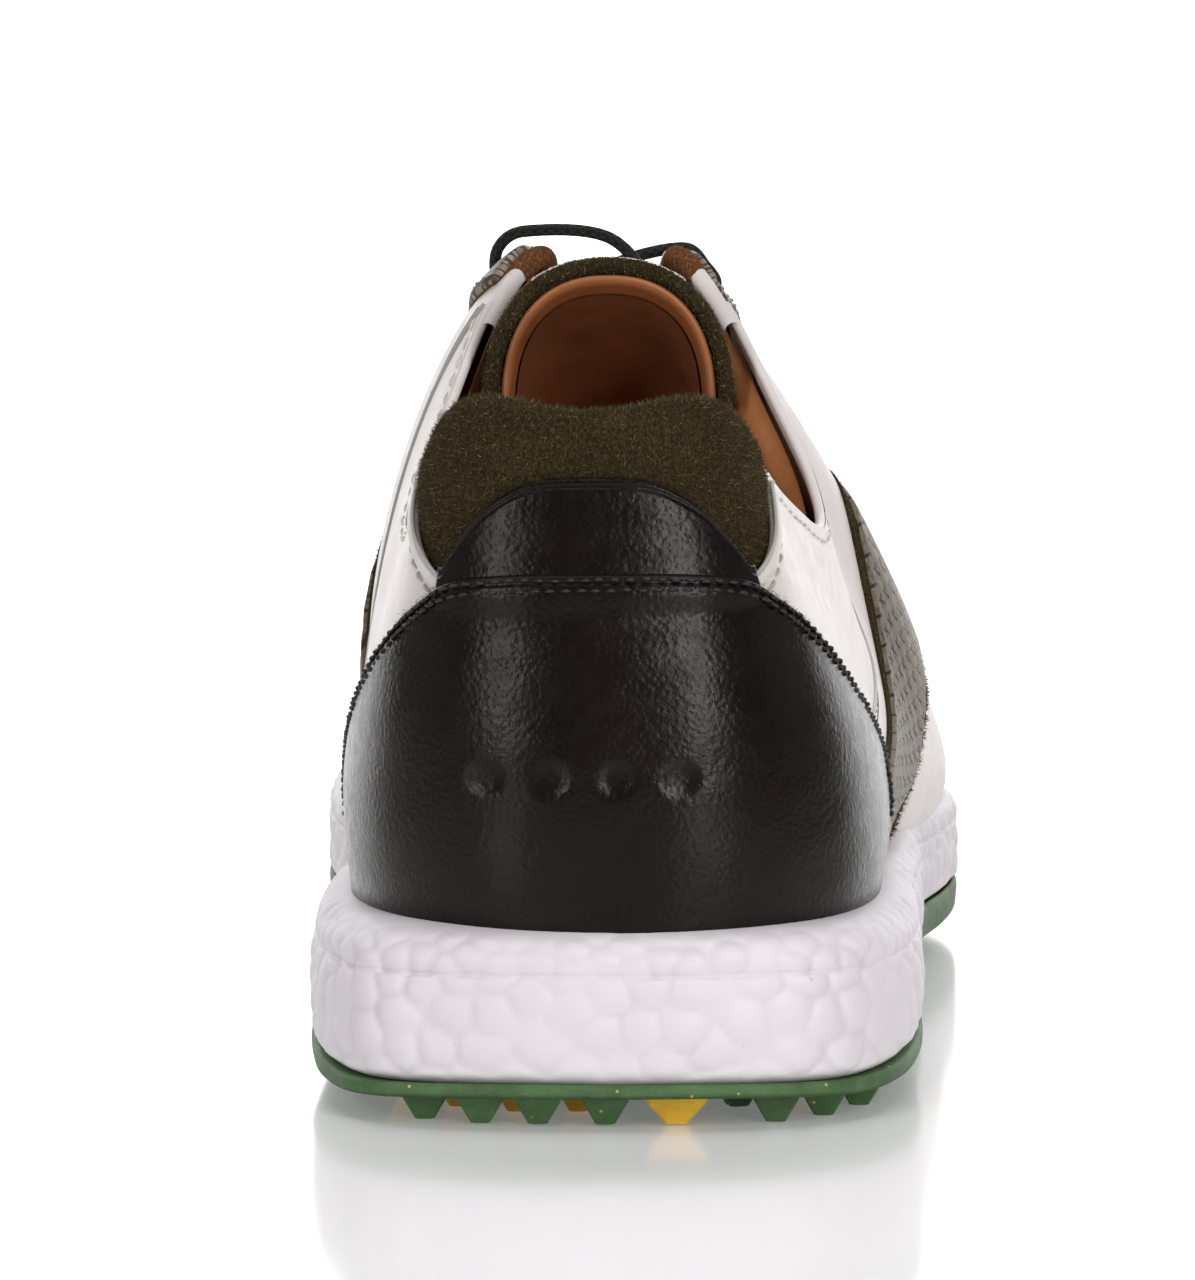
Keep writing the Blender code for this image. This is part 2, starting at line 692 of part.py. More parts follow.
def through(points, step):
    """Points about a step apart on a smooth curve through the given points."""
    points = np.array(points)
    n = len(points)
    lengths = np.linalg.norm(np.diff(points, axis=0), axis=1)
    knots = np.concatenate([[0], np.cumsum(np.sqrt(lengths))])
    slopes = np.zeros_like(points)
    for i in range(n):
        a, b = max(i - 1, 0), min(i + 1, n - 1)
        slopes[i] = (points[b] - points[a]) / (knots[b] - knots[a])
    line = []
    for i in range(n - 1):
        span = knots[i + 1] - knots[i]
        for t in np.linspace(0, 1, max(1, round(lengths[i] / step)), endpoint=False):
            line.append(
                (2 * t**3 - 3 * t**2 + 1) * points[i]
                + (t**3 - 2 * t**2 + t) * span * slopes[i]
                + (-2 * t**3 + 3 * t**2) * points[i + 1]
                + (t**3 - t**2) * span * slopes[i + 1]
            )
    return np.array([*line, points[-1]])


def tube(shoe, name, points, radius, material):
    curve = bpy.data.curves.new(name, "CURVE")
    curve.dimensions = "3D"
    curve.bevel_depth = radius * MM
    curve.bevel_resolution = 1
    curve.use_fill_caps = True
    spline = curve.splines.new("POLY")
    spline.points.add(len(points) - 1)
    for slot, point in zip(spline.points, points):
        slot.co = (*to_frame(point), 1)
    made = bpy.data.objects.new(name, curve)
    curve.materials.append(shoe.materials[material])
    shoe.parts.objects.link(made)
    made.parent = shoe.root
    return made


def lace(shoe):
    points = through(lace_route(), 5.0)
    tip = 3
    tube(shoe, "lace", points[tip:-tip], LACE_RADIUS, "black_cord")
    for name, end in (("aglet_a", points[: tip + 1]), ("aglet_b", points[-tip - 1 :])):
        line = np.array(end)
        if name == "aglet_a":
            line[-1] = line[-1] + 0.1 * (line[-2] - line[-1])
        else:
            line[0] = line[0] + 0.1 * (line[1] - line[0])
        tube(shoe, name, line, LACE_RADIUS - 0.1, "clear_plastic")


# ---------------------------------------------------------------- the sole
MIDSOLE_BULGE = smooth_table(
    ((0, 6.4), (2, 8.6), (3.5, 9.2), (6, 7.0), (8, 4.8), (10, 3.7), (14, 2.8), (17, 3.4), (20, 5.2))
)
WAIST = smooth_table(((0, 0), (6, 0), (7.5, 1.4), (9, 3.6), (10.5, 3.4), (12, 1.6), (14, 0), (20, 0)))
HEEL_CORNER = smooth_table(((0, 0), (0.8, 1.4), (1.6, 4.6), (2.2, 2.8), (2.8, 0.7), (3.4, 0), (20, 0)))
RING_STATIONS = sorted(
    [0.5 * i for i in range(9)] + list(range(5, 16)) + [16 + 0.5 * i for i in range(8)]
)


def spring(y):
    """How far the sole lifts off the ground at y: the toe's spring and the heel's small bevel."""
    toe = max(0.0, (y - SPRING_START) / SPRING_LENGTH)
    heel = max(0.0, (14 - y) / 14)
    return TOE_SPRING * toe * toe + 1.2 * heel * heel


def ring(offset, height):
    """A closed ring round the sole: offset(q) out from the feather line, height(q, y).

    The outer side is cut in at the waist, and the heel is squarer on the inner side.
    """
    stations = RING_STATIONS + [TOE] + [STATIONS - q for q in reversed(RING_STATIONS) if q > 0]
    points = []
    for q in stations:
        here = controls(q)[0]
        along = controls(q + 0.05)[0] - controls(q - 0.05)[0]
        out = np.array([along[1], -along[0], 0.0])
        out /= np.linalg.norm(out)
        k = min(q, STATIONS - q)
        edge = min(max(offset(k) / MIDSOLE_BULGE(k), 0.0), 1.0)
        cut = WAIST(q) - 0.5 * HEEL_CORNER(q) * edge if q < TOE else -HEEL_CORNER(k) * edge
        point = here + (offset(k) - cut) * out
        point[2] = height(k, point[1])
        points.append(point)
    return points


def ring_solid(name, rings):
    """A closed body through stacked rings, capped by strips from side to side."""
    bm = bmesh.new()
    loops = [[bm.verts.new(to_frame(p)) for p in points] for points in rings]
    count = len(loops[0])
    for lower, upper in zip(loops, loops[1:]):
        for i in range(count):
            j = (i + 1) % count
            bm.faces.new((lower[i], lower[j], upper[j], upper[i]))
    for cap in (loops[0], loops[-1]):
        half = count // 2
        bm.faces.new((cap[0], cap[1], cap[-1]))
        for i in range(1, half - 1):
            bm.faces.new((cap[i], cap[i + 1], cap[-i - 1], cap[-i]))
        bm.faces.new((cap[half - 1], cap[half], cap[half + 1]))
    bmesh.ops.recalc_face_normals(bm, faces=bm.faces)
    mesh = bpy.data.meshes.new(name)
    bm.to_mesh(mesh)
    bm.free()
    return mesh


RIM_HEIGHT = smooth_table(((0, 6.2), (2, 6.8), (4, 8.6), (8, 9.6), (14, 9.4), (18, 9.0), (20, 8.6)))


def feather_height(q, y):
    return controls(q)[0][2]


def sole_ring(share, height):
    """A ring at a share of the midsole's bulge out from the feather line."""
    return ring(lambda q: share * MIDSOLE_BULGE(q), height)


def midsole(shoe):
    def lift(z):
        return lambda q, y: z + spring(y)

    def between(share):
        def height(q, y):
            low = RIM_HEIGHT(q) + spring(y) + 0.8
            return low + share * (feather_height(q, y) - 2.0 - low)

        return height

    rings = [
        ring(lambda q: -3.0, lift(PLATE_BOTTOM + PLATE_THICK + GAP)),
        ring(lambda q: 0.35 * MIDSOLE_BULGE(q) - 2.0, lift(PLATE_BOTTOM + PLATE_THICK + GAP)),
        ring(
            lambda q: 0.60 * MIDSOLE_BULGE(q) - 2.0,
            lambda q, y: RIM_HEIGHT(q) + spring(y) + 0.3,
        ),
        sole_ring(0.88, between(0.02)),
        sole_ring(1.0, between(0.22)),
        sole_ring(1.0, between(0.5)),
        sole_ring(0.93, between(0.62)),
        sole_ring(0.86, between(0.85)),
        sole_ring(0.55, between(0.97)),
        sole_ring(0.1, between(1.0)),
        ring(lambda q: -4.6, between(1.0)),
        ring(lambda q: -5.2, lambda q, y: feather_height(q, y) - 4.2),
    ]
    body = shoe.add("midsole", ring_solid("midsole", rings), "white_bead_foam")
    body.data.shade_smooth()
    return body


def frustum_mesh(bm, x, y, base, tip, turn=0.0, root=0.6, depth=PLATE_BOTTOM):
    """A four-sided lug that hangs from the plate at x, y down to the ground."""
    ground = spring(y)
    corners = []
    for size, z in ((base / 2, ground + depth + root), (base / 2, ground + depth), (tip / 2, ground)):
        for i in range(4):
            angle = turn + math.pi / 4 + i * math.pi / 2
            r = size * math.sqrt(2)
            corners.append(
                bm.verts.new(to_frame((x + r * math.cos(angle), y + r * math.sin(angle), z)))
            )
    top, middle, bottom = corners[:4], corners[4:8], corners[8:]
    bm.faces.new(top)
    bm.faces.new(bottom)
    for upper, lower in ((top, middle), (middle, bottom)):
        for i in range(4):
            j = (i + 1) % 4
            bm.faces.new((upper[i], upper[j], lower[j], lower[i]))


def lug_mesh(name, places):
    bm = bmesh.new()
    for x, y, base, tip, turn, root, depth in places:
        frustum_mesh(bm, x, y, base, tip, turn, root, depth)
    bmesh.ops.recalc_face_normals(bm, faces=bm.faces)
    mesh = bpy.data.meshes.new(name)
    bm.to_mesh(mesh)
    bm.free()
    return mesh


# Lugs of the second colour: x, y from the heel on the last's centre line
YELLOW_LUGS = (
    (8.6, 7.5),
    (-5.5, 19.5),
    (-14.5, 19.5),
    (-23.0, 24.0),
    (-30.5, 33.0),
    (26.0, 40.0),
    (-25.0, 62.0),
    (30.0, 176.0),
    (-28.0, 204.0),
    (18.0, 226.0),
    (-12.0, 258.0),
)
REAR_ROW = ((-27.7, 13.5), (-19.6, 9.0), (-11.3, 7.4), (-1.6, 6.6), (23.0, 10.5), (30.1, 16.5), (35.6, 25.5))
EDGE_STATIONS = (3.7, 4.5, 5.2, 5.9, 6.7, 7.7, 9.0, 10.3, 11.6, 12.8, 14.0, 15.1, 16.1, 17.1, 18.1, 19.1)
LUG_SPACING = 15.5
ARCH = (92.0, 146.0)  # smooth stretch of the sole between the heel and the ball


def outline(margin):
    """The outsole's outline, that far inside its edge, as x, y points."""
    points = ring(lambda q: MIDSOLE_BULGE(q) - margin, lambda q, y: 0.0)
    return np.array(points)[:, :2]


def inside(point, loop):
    x, y = point
    crossings = 0
    for (x0, y0), (x1, y1) in zip(loop, np.roll(loop, -1, axis=0)):
        if (y0 > y) != (y1 > y) and x < x0 + (y - y0) * (x1 - x0) / (y1 - y0):
            crossings += 1
    return crossings % 2 == 1


def lug_places():
    """Every green lug: the heel's rear row, the edge all round and the field between."""
    base, tip = 5.8, 2.6
    places = [(x, y, base, tip, 0.0) for x, y in REAR_ROW]
    for q in EDGE_STATIONS:
        for station in (q, STATIONS - q):
            here = controls(station)[0]
            along = controls(station + 0.05)[0] - controls(station - 0.05)[0]
            out = np.array([along[1], -along[0]]) / math.hypot(along[0], along[1])
            reach = MIDSOLE_BULGE(q) - 8.4
            x, y = here[0] + reach * out[0], here[1] + reach * out[1]
            if min(math.dist((x, y), p) for p in YELLOW_LUGS) > 8.5:
                places.append((x, y, base, tip, math.atan2(out[1], out[0])))
    field = outline(14.5)
    row = 0
    for y in np.arange(24.0, 290.0, LUG_SPACING * 0.85):
        row += 1
        if ARCH[0] < y < ARCH[1]:
            continue
        for x in np.arange(-52 + row % 2 * LUG_SPACING / 2, 62, LUG_SPACING):
            taken = [p[:2] for p in places] + list(YELLOW_LUGS)
            if inside((x, y), field) and min(math.dist((x, y), p) for p in taken) > 9.0:
                places.append((x, y, base - 0.6, tip, 0.3))
    return [(*place, 0.6, PLATE_BOTTOM) for place in places]


def outsole(shoe):
    plate_top = PLATE_BOTTOM + PLATE_THICK
    rings = [
        ring(lambda q: -3.0, lambda q, y: plate_top + spring(y)),
        ring(lambda q: 0.35 * MIDSOLE_BULGE(q) - 1.2, lambda q, y: plate_top + spring(y)),
        ring(lambda q: 0.60 * MIDSOLE_BULGE(q) - 1.0, lambda q, y: RIM_HEIGHT(q) + spring(y)),
        ring(lambda q: 0.96 * MIDSOLE_BULGE(q), lambda q, y: RIM_HEIGHT(q) + spring(y)),
        ring(
            lambda q: 0.98 * MIDSOLE_BULGE(q),
            lambda q, y: RIM_HEIGHT(q) + spring(y) - 0.8,
        ),
        ring(lambda q: 0.66 * MIDSOLE_BULGE(q), lambda q, y: PLATE_BOTTOM + spring(y)),
    ]
    plate = shoe.add("outsole", ring_solid("outsole", rings), "green_rubber")
    lugs = shoe.add_cutter("green_lugs", lug_mesh("green_lugs", lug_places()))
    shoe.unite(plate, lugs)
    pockets = []
    for number, (x, y) in enumerate(YELLOW_LUGS, 1):
        wide = 8.6 if number == 1 else 6.4
        name = f"yellow_lug_{number:02d}"
        place = (x, y, wide, 3.4 if number == 1 else 2.8, 0.0, 1.0, PLATE_BOTTOM)
        shoe.add(name, lug_mesh(name, [place]), "yellow_rubber")
        pockets.append((x, y, wide + 0.7, wide + 0.7, 0.0, 1.4, PLATE_BOTTOM))
    cutter = shoe.add_cutter("lug_pockets", lug_mesh("lug_pockets", pockets))
    shoe.subtract(plate, cutter)


def flat_board(shoe, name, inset, low, high, material):
    """A board that follows the feather line, that far inside it and between two heights."""
    rings = [
        ring(lambda q: -inset, lambda q, y: feather_height(q, y) + low),
        ring(lambda q: -inset, lambda q, y: feather_height(q, y) + high),
    ]
    return shoe.add(name, ring_solid(name, rings), material)


def sockliner(shoe):
    """The loose insole. It is shorter at the toe, so that it lifts clear of the lining."""
    trim = smooth_table(((0, 5.8), (8, 6.0), (13, 6.8), (17, 7.8), (20, 11.4)))
    rings = [
        ring(lambda q: -trim(q) - 1.6, lambda q, y: feather_height(q, y) - 1.2),
        ring(lambda q: -trim(q), lambda q, y: feather_height(q, y) + 2.5),
        ring(lambda q: -trim(q) - 0.4, lambda q, y: feather_height(q, y) + 3.8),
        ring(lambda q: -trim(q) - 3.7, lambda q, y: feather_height(q, y) + 2.4),
    ]
    shoe.add("sockliner", ring_solid("sockliner", rings), "tan_leather").data.shade_smooth()


def box_mesh(name, size):
    bm = bmesh.new()
    bmesh.ops.create_cube(bm, size=1, matrix=Matrix.Diagonal((*[v * MM for v in size], 1)))
    mesh = bpy.data.meshes.new(name)
    bm.to_mesh(mesh)
    bm.free()
    return mesh


def shank(shoe, midsole_body):
    """A spring-steel strip in a slot in the midsole's top, under the arch and the board."""
    length, width, thick = 96.0, 14.0, 1.2
    centre = (3.0, 118.0, 23.0)
    tilt = math.radians(-1.9)
    strip = shoe.add("shank", box_mesh("shank", (width, length, thick)), "steel")
    slot = shoe.add_cutter("shank_slot", box_mesh("slot", (width + 0.8, length + 0.8, 8)))
    raised = (centre[0], centre[1], centre[2] - thick / 2 - GAP + 4)
    for body, place in ((strip, centre), (slot, raised)):
        body.location = to_frame(place)
        body.rotation_euler = (tilt, 0, 0)
    shoe.subtract(midsole_body, slot)


def main():
    clear_scene()
    shoe = Builder()
    heel_counter(shoe)
    back_tab(shoe)
    collar(shoe)
    stiffener(shoe)
    vamp_sheet, vamp_lining = front_of_upper(shoe)
    lining = quarter_lining(shoe)
    for side, sign in (("lateral", 1), ("medial", -1)):
        quarters(shoe, side, sign)
        saddle(shoe, side, sign)
        side_piping(shoe, side, sign)
        stays = eyestay(shoe, side, sign)
        punch = drills(shoe, side, sign)
        front = bpy.data.objects[f"quarter_front_{side}"]
        for piece in (*stays, front, vamp_sheet, vamp_lining, lining):
            shoe.subtract(piece, punch)
    tongue(shoe)
    lace(shoe)
    midsole_body = midsole(shoe)
    outsole(shoe)
    flat_board(shoe, "lasting_board", 5.6, -3.8, -1.6, "board")
    sockliner(shoe)
    shank(shoe, midsole_body)


main()
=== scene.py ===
"""The golf shoe's visual model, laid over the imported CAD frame.

Everything is drawn on the same last as the CAD: station q runs round the shoe from the heel (0)
by the outer side to the toe (20) and back, v runs from the sole (0) to the top line (1), and a
lift is a distance out from that surface. Lengths are in millimetres until to_frame().
"""

import itertools
import math

import bmesh
import bpy
import numpy as np
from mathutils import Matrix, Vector


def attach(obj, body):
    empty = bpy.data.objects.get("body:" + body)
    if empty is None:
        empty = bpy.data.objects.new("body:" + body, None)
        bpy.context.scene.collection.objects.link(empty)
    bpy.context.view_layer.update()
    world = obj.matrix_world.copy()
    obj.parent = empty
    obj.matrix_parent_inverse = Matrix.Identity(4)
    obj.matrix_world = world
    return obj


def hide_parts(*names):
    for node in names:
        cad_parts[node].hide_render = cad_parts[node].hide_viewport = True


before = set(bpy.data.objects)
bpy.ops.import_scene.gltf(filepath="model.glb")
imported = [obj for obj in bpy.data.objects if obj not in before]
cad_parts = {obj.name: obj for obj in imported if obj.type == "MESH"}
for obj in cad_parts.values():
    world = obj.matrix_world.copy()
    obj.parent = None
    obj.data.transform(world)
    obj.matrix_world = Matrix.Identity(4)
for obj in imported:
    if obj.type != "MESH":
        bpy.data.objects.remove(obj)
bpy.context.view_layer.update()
rng = np.random.default_rng(11)

MM = 0.001
FAR = 1e3  # a distance from an edge that has no effect
ORIGIN = np.array([4.87, 151.55, 0.0])  # the frame's origin, from the last's heel point
STATIONS, TOE, THROAT_END = 40, 20, 14

# Last, one row a station from heel to toe.
# feather line: outer x, inner x, y, z | top line: centre x, half gap, y, z
# handles: out on the outer side, out on the inner side, forward, up; at the feather line, then
# at the top line
LAST = (
    ((0, 0, 6.5, 30), (-4, 0, 13.5, 102.3), (0, 0, -7.5, 24), (0, 0, -2, -22)),
    ((18.5, -18.5, 10.5, 30), (-4, 11.5, 15.5, 103.8), (2, 2, -7, 24), (2.5, 2.5, -1.5, -22)),
    ((30, -30, 23, 30), (-3.8, 18.8, 24, 102), (3.2, 3.2, -4, 24), (4, 4, -1, -20)),
    ((35.3, -35.3, 42, 30), (-3, 23.6, 38.5, 91.5), (3.2, 3.2, -1, 22), (5, 5, 0, -19)),
    ((36.8, -36.3, 65, 29.5), (-1.4, 27.2, 58.5, 84.2), (3.5, 3.5, 0, 20), (5, 5, 0, -17)),
    ((38.6, -36.6, 88, 29), (0, 30.3, 78, 80.2), (4, 4, 0, 18), (3.5, 5, 0, -17)),
    ((41.6, -35.2, 109, 28.5), (0.1, 29.2, 91, 87), (4.5, 5, 0, 18), (3, 8, 4, -18)),
    ((44.8, -34.8, 126, 28), (-0.2, 24.2, 103, 98.5), (6, 7.5, 0, 19), (0.5, 11.5, 6, -21)),
    ((47.4, -35.6, 139, 27.5), (-1, 17.4, 112, 113), (7, 8.5, -1, 23), (2.5, 16, 7, -19)),
    ((49.8, -36.8, 151, 27.1), (-1, 10.5, 117, 120.5), (8, 9, -2, 28), (6.5, 18.5, 8, -8)),
    ((51.8, -38.6, 162.5, 26.6), (-1, 9.5, 130, 112.5), (7, 6.5, -2, 27), (11, 17.5, 6, -7)),
    ((53.8, -40.8, 174, 26.1), (-1, 9.5, 146, 101.5), (6, 5, -2, 24), (14.5, 18.5, 5, -6)),
    ((55.4, -43.2, 186, 25.7), (-1, 9, 162, 90.5), (5.5, 4.5, -1, 20), (17, 19, 4, -5)),
    ((56.5, -45.3, 198, 25.4), (-1, 6.5, 177, 80.5), (4.5, 4, 0, 18), (20.5, 20.5, 3, -3)),
    ((56.5, -46.6, 211, 25.3), (-1, 0, 187, 74), (4, 3.5, 0, 16), (26, 25, 2, 0)),
    ((54.3, -46.9, 227, 25.5), (-2, 0, 205, 66.5), (4, 3.5, 0, 15), (27, 26, 3, 0)),
    ((49.5, -45.6, 245, 26.1), (-3.2, 0, 225, 59.5), (4, 3.5, 1, 14), (25, 24.5, 4, 0)),
    ((40.5, -41.7, 263, 27), (-4.5, 0, 243, 54), (3.5, 3.5, 2, 13), (21, 21, 7, 0)),
    ((27, -34, 280, 28.2), (-5.8, 0, 257, 50.3), (3, 3, 3, 12), (15, 15, 11, 0)),
    ((10.5, -22.5, 293, 29.2), (-6.8, 0, 266.5, 48), (1.5, 1.5, 3.5, 11), (8, 8, 15, 0)),
    ((-7.5, -7.5, 298, 29.6), (-7.3, 0, 270.5, 47), (0, 0, 4, 11), (0, 0, 17, 0)),
)


# ---------------------------------------------------------------- the last's surface
def hermite(a, da, b, db, t):
    return (
        (2 * t**3 - 3 * t**2 + 1) * a
        + (t**3 - 2 * t**2 + t) * da
        + (-2 * t**3 + 3 * t**2) * b
        + (t**3 - t**2) * db
    )


def smooth_table(table):
    """A smooth curve through the table's points."""
    xs, ys = np.array(table, float).T
    slopes = np.diff(ys) / np.diff(xs)
    tangents = np.concatenate([[slopes[0]], (slopes[1:] + slopes[:-1]) / 2, [slopes[-1]]])

    def value(x):
        x = np.clip(np.asarray(x, float), xs[0], xs[-1])
        i = np.clip(np.searchsorted(xs, x, side="right") - 1, 0, len(xs) - 2)
        span = xs[i + 1] - xs[i]
        return hermite(
            ys[i], tangents[i] * span, ys[i + 1], tangents[i + 1] * span, (x - xs[i]) / span
        )

    return value


def last_rows():
    rows = []
    for station in range(STATIONS):
        side = 1 if station <= TOE else -1
        feather, top, low, high = LAST[min(station, STATIONS - station)]
        inner = 0 if side > 0 else 1
        b = np.array([feather[inner], feather[2], feather[3]], float)
        t = np.array([top[0] + side * top[1], top[2], top[3]], float)
        p = b + np.array([side * low[inner], low[2], low[3]])
        h = t + np.array([side * high[inner], high[2], high[3]])
        rows.append((b, p, h, t))
    return np.array(rows)


def closed_tangents(rows):
    n = len(rows)
    system = 4 * np.eye(n)
    for i in range(n):
        system[i, (i + 1) % n] += 1
        system[i, i - 1] += 1
    slopes = 3 * (np.roll(rows, -1, axis=0) - np.roll(rows, 1, axis=0))
    return np.linalg.solve(system, slopes.reshape(n, -1)).reshape(rows.shape)


ROWS = last_rows()
TANGENTS = closed_tangents(ROWS)


def blended(q):
    q = np.asarray(q, float) % STATIONS
    i = np.floor(q).astype(int) % STATIONS
    j = (i + 1) % STATIONS
    t = (q - np.floor(q))[..., None, None]
    return hermite(ROWS[i], TANGENTS[i], ROWS[j], TANGENTS[j], t)


def controls(q):
    """The four control points at each station. Past the throat the sides meet on the ridge."""
    m = np.asarray(q, float) % STATIONS
    points = blended(m)
    ridge = (m >= THROAT_END) & (m <= STATIONS - THROAT_END)
    middle = (points[..., 3, :] + blended(STATIONS - m)[..., 3, :]) / 2
    points[..., 3, :] = np.where(ridge[..., None], middle, points[..., 3, :])
    return points


def raw_point(q, v):
    q, v = np.broadcast_arrays(np.asarray(q, float), np.asarray(v, float))
    c = controls(q)
    v = v[..., None]
    w = 1 - v
    return (
        w**3 * c[..., 0, :]
        + 3 * w * w * v * c[..., 1, :]
        + 3 * w * v * v * c[..., 2, :]
        + v**3 * c[..., 3, :]
    )


def unit(a):
    return a / np.maximum(np.linalg.norm(a, axis=-1, keepdims=True), 1e-9)


def normal_at(q, v, step=0.02):
    inner = np.minimum(v, 0.985)
    across = raw_point(np.asarray(q) + step, inner) - raw_point(np.asarray(q) - step, inner)
    up = raw_point(q, np.minimum(inner + step, 1)) - raw_point(q, inner - step)
    return unit(np.cross(across, up))


def skin_normal(q, v):
    """The normal, averaged over the two sides on the ridge."""
    q, v = np.broadcast_arrays(np.asarray(q, float), np.asarray(v, float))
    out = normal_at(q, v)
    m = q % STATIONS
    ridge = (v > 0.999) & (m >= THROAT_END) & (m <= STATIONS - THROAT_END)
    both = unit(out + normal_at(STATIONS - m, v))
    return np.where(ridge[..., None], both, out)


def skin(q, v, lift=0.0):
    return raw_point(q, v) + np.asarray(lift)[..., None] * skin_normal(q, v)


def height_at(q, z):
    """The v at which each station's profile reaches height z."""
    q, z = np.broadcast_arrays(np.asarray(q, float), np.asarray(z, float))
    vs = np.linspace(0, 1, 61)
    flat = raw_point(q.ravel()[:, None], vs[None, :])[..., 2]
    return np.array([np.interp(a, row, vs) for a, row in zip(z.ravel(), flat)]).reshape(q.shape)


def edge_inset(q, distance):
    """The v that lies a distance below the top edge, measured along the profile."""
    q, distance = np.broadcast_arrays(np.asarray(q, float), np.asarray(distance, float))
    vs = np.linspace(1, 0, 101)
    points = raw_point(q.ravel()[:, None], vs[None, :])
    steps = np.linalg.norm(np.diff(points, axis=1), axis=2)
    along = np.concatenate([np.zeros((len(points), 1)), np.cumsum(steps, axis=1)], axis=1)
    found = [np.interp(d, row, vs) for d, row in zip(distance.ravel(), along)]
    return np.array(found).reshape(q.shape)


def to_frame(points):
    return (np.asarray(points) - ORIGIN) * MM


def distance_along(points):
    """How far along a polyline each of its points is."""
    return np.concatenate([[0], np.cumsum(np.linalg.norm(np.diff(points, axis=0), axis=1))])


def ramped(x, low, high):
    """Rises smoothly from 0 at low to 1 at high."""
    t = np.clip((x - low) / (high - low), 0, 1)
    return t * t * (3 - 2 * t)


# ---------------------------------------------------------------- meshes
def add_piece(name, verts, faces, material, nodes=(), body="shoe", smooth=True, uv=None):
    """A mesh object from last coordinates, riding on a body and standing for the CAD nodes.

    uv is one pair for each vertex.
    """
    mesh = bpy.data.meshes.new(name)
    faces = faces if isinstance(faces, list) else faces.tolist()
    mesh.from_pydata(to_frame(verts).reshape(-1, 3).tolist(), [], faces)
    mesh.materials.append(material)
    if uv is not None:
        layer = mesh.uv_layers.new(name="mm")
        index = np.zeros(len(mesh.loops), int)
        mesh.loops.foreach_get("vertex_index", index)
        layer.data.foreach_set("uv", np.asarray(uv, float)[index].ravel())
    mesh.polygons.foreach_set("use_smooth", [smooth] * len(mesh.polygons))
    mesh.update()
    made = bpy.data.objects.new(name, mesh)
    bpy.context.scene.collection.objects.link(made)
    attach(made, body)
    if nodes:
        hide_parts(*nodes)
    return made


def grid_faces(n, m, wrap=False):
    """Quads over n rows of m points. wrap joins the last row to the first."""
    i, j = np.meshgrid(np.arange(n if wrap else n - 1), np.arange(m - 1), indexing="ij")
    i, j = i.ravel(), j.ravel()
    k = (i + 1) % n
    return np.stack([i * m + j, k * m + j, k * m + j + 1, i * m + j + 1], axis=1)


def arc_lengths(points):
    """Distance along each row and each column of a grid of points."""
    across = np.linalg.norm(np.diff(points, axis=0), axis=2)
    up = np.linalg.norm(np.diff(points, axis=1), axis=2)
    across = np.concatenate([np.zeros((1, points.shape[1])), np.cumsum(across, axis=0)], axis=0)
    up = np.concatenate([np.zeros((points.shape[0], 1)), np.cumsum(up, axis=1)], axis=1)
    return across, up


def spread(count, tight=0.8):
    """Values from 0 to 1 that lie closer together at both ends."""
    t = np.linspace(0, 1, count)
    return t - tight * np.sin(2 * math.pi * t) / (2 * math.pi)


def grid_patch(
    name, q, v, layer, material, slot, nodes=(), edges="lrbt", edge=0.9, relief=None, over=None,
    body="shoe", base=None,
):
    """A leather panel on the last over grids of stations and heights.

    layer is (under, face) in lift. Its free edges, l r b t, are rounded down to the under side.
    relief(q, v, across, up) adds to the lift. over = (lift inside, depth) turns the panel over
    the top line and down the inside. base(q, v) replaces the last's surface with (points, normals).
    """
    q, v = np.broadcast_arrays(q, v)
    points, out = base(q, v) if base else (raw_point(q, v), skin_normal(q, v))
    across, up = arc_lengths(points)
    from_edge = {"l": across, "r": across[-1] - across, "b": up, "t": up[:, -1:] - up}
    distance = np.full(q.shape, FAR)
    for free in edges:
        distance = np.minimum(distance, from_edge[free])
    low, high = layer
    near = np.clip(distance / edge, 0, 1)
    lift = low + (high - low) * np.sqrt(np.maximum(1 - (1 - near) ** 2, 0))
    if relief is not None:
        lift = lift + relief(q, v, across, up) * near
    verts = points + lift[..., None] * out
    uv = np.stack([across, up], axis=-1)
    if over:
        inner, depth = over
        top, n = points[:, -1], out[:, -1]
        rise = unit(top - points[:, -2])
        outer = lift[:, -1]
        centre, radius = (outer + inner) / 2, (outer - inner) / 2
        rows = []
        for angle in np.linspace(0, math.pi, 10)[1:]:
            along = centre + radius * math.cos(angle)
            rows.append(top + along[:, None] * n + (radius * math.sin(angle))[:, None] * rise)
        for down in np.linspace(0, depth, 4)[1:]:
            rows.append(top + inner * n - down * rise)
        rows = np.stack(rows, axis=1)
        verts = np.concatenate([verts, rows], axis=1)
        extra = up[:, -1:] + np.arange(1, rows.shape[1] + 1)[None, :] * 0.6
        uv = np.concatenate(
            [uv, np.stack([np.repeat(across[:, -1:], rows.shape[1], 1), extra], axis=-1)], axis=1
        )
    return add_piece(name, verts, grid_faces(*verts.shape[:2]), material, nodes, body,
                     uv=uv.reshape(-1, 2))


def frames_along(points):
    """Unit tangents and two steady side directions along a polyline."""
    tangent = unit(np.gradient(points, axis=0))
    side = np.zeros_like(points)
    start = np.array([0.0, 0.0, 1.0])
    if abs(tangent[0] @ start) > 0.9:
        start = np.array([1.0, 0.0, 0.0])
    current = unit(np.cross(tangent[0], start))
    for i, t in enumerate(tangent):
        current = unit(current - (current @ t) * t)
        side[i] = current
    return tangent, side, np.cross(tangent, side)


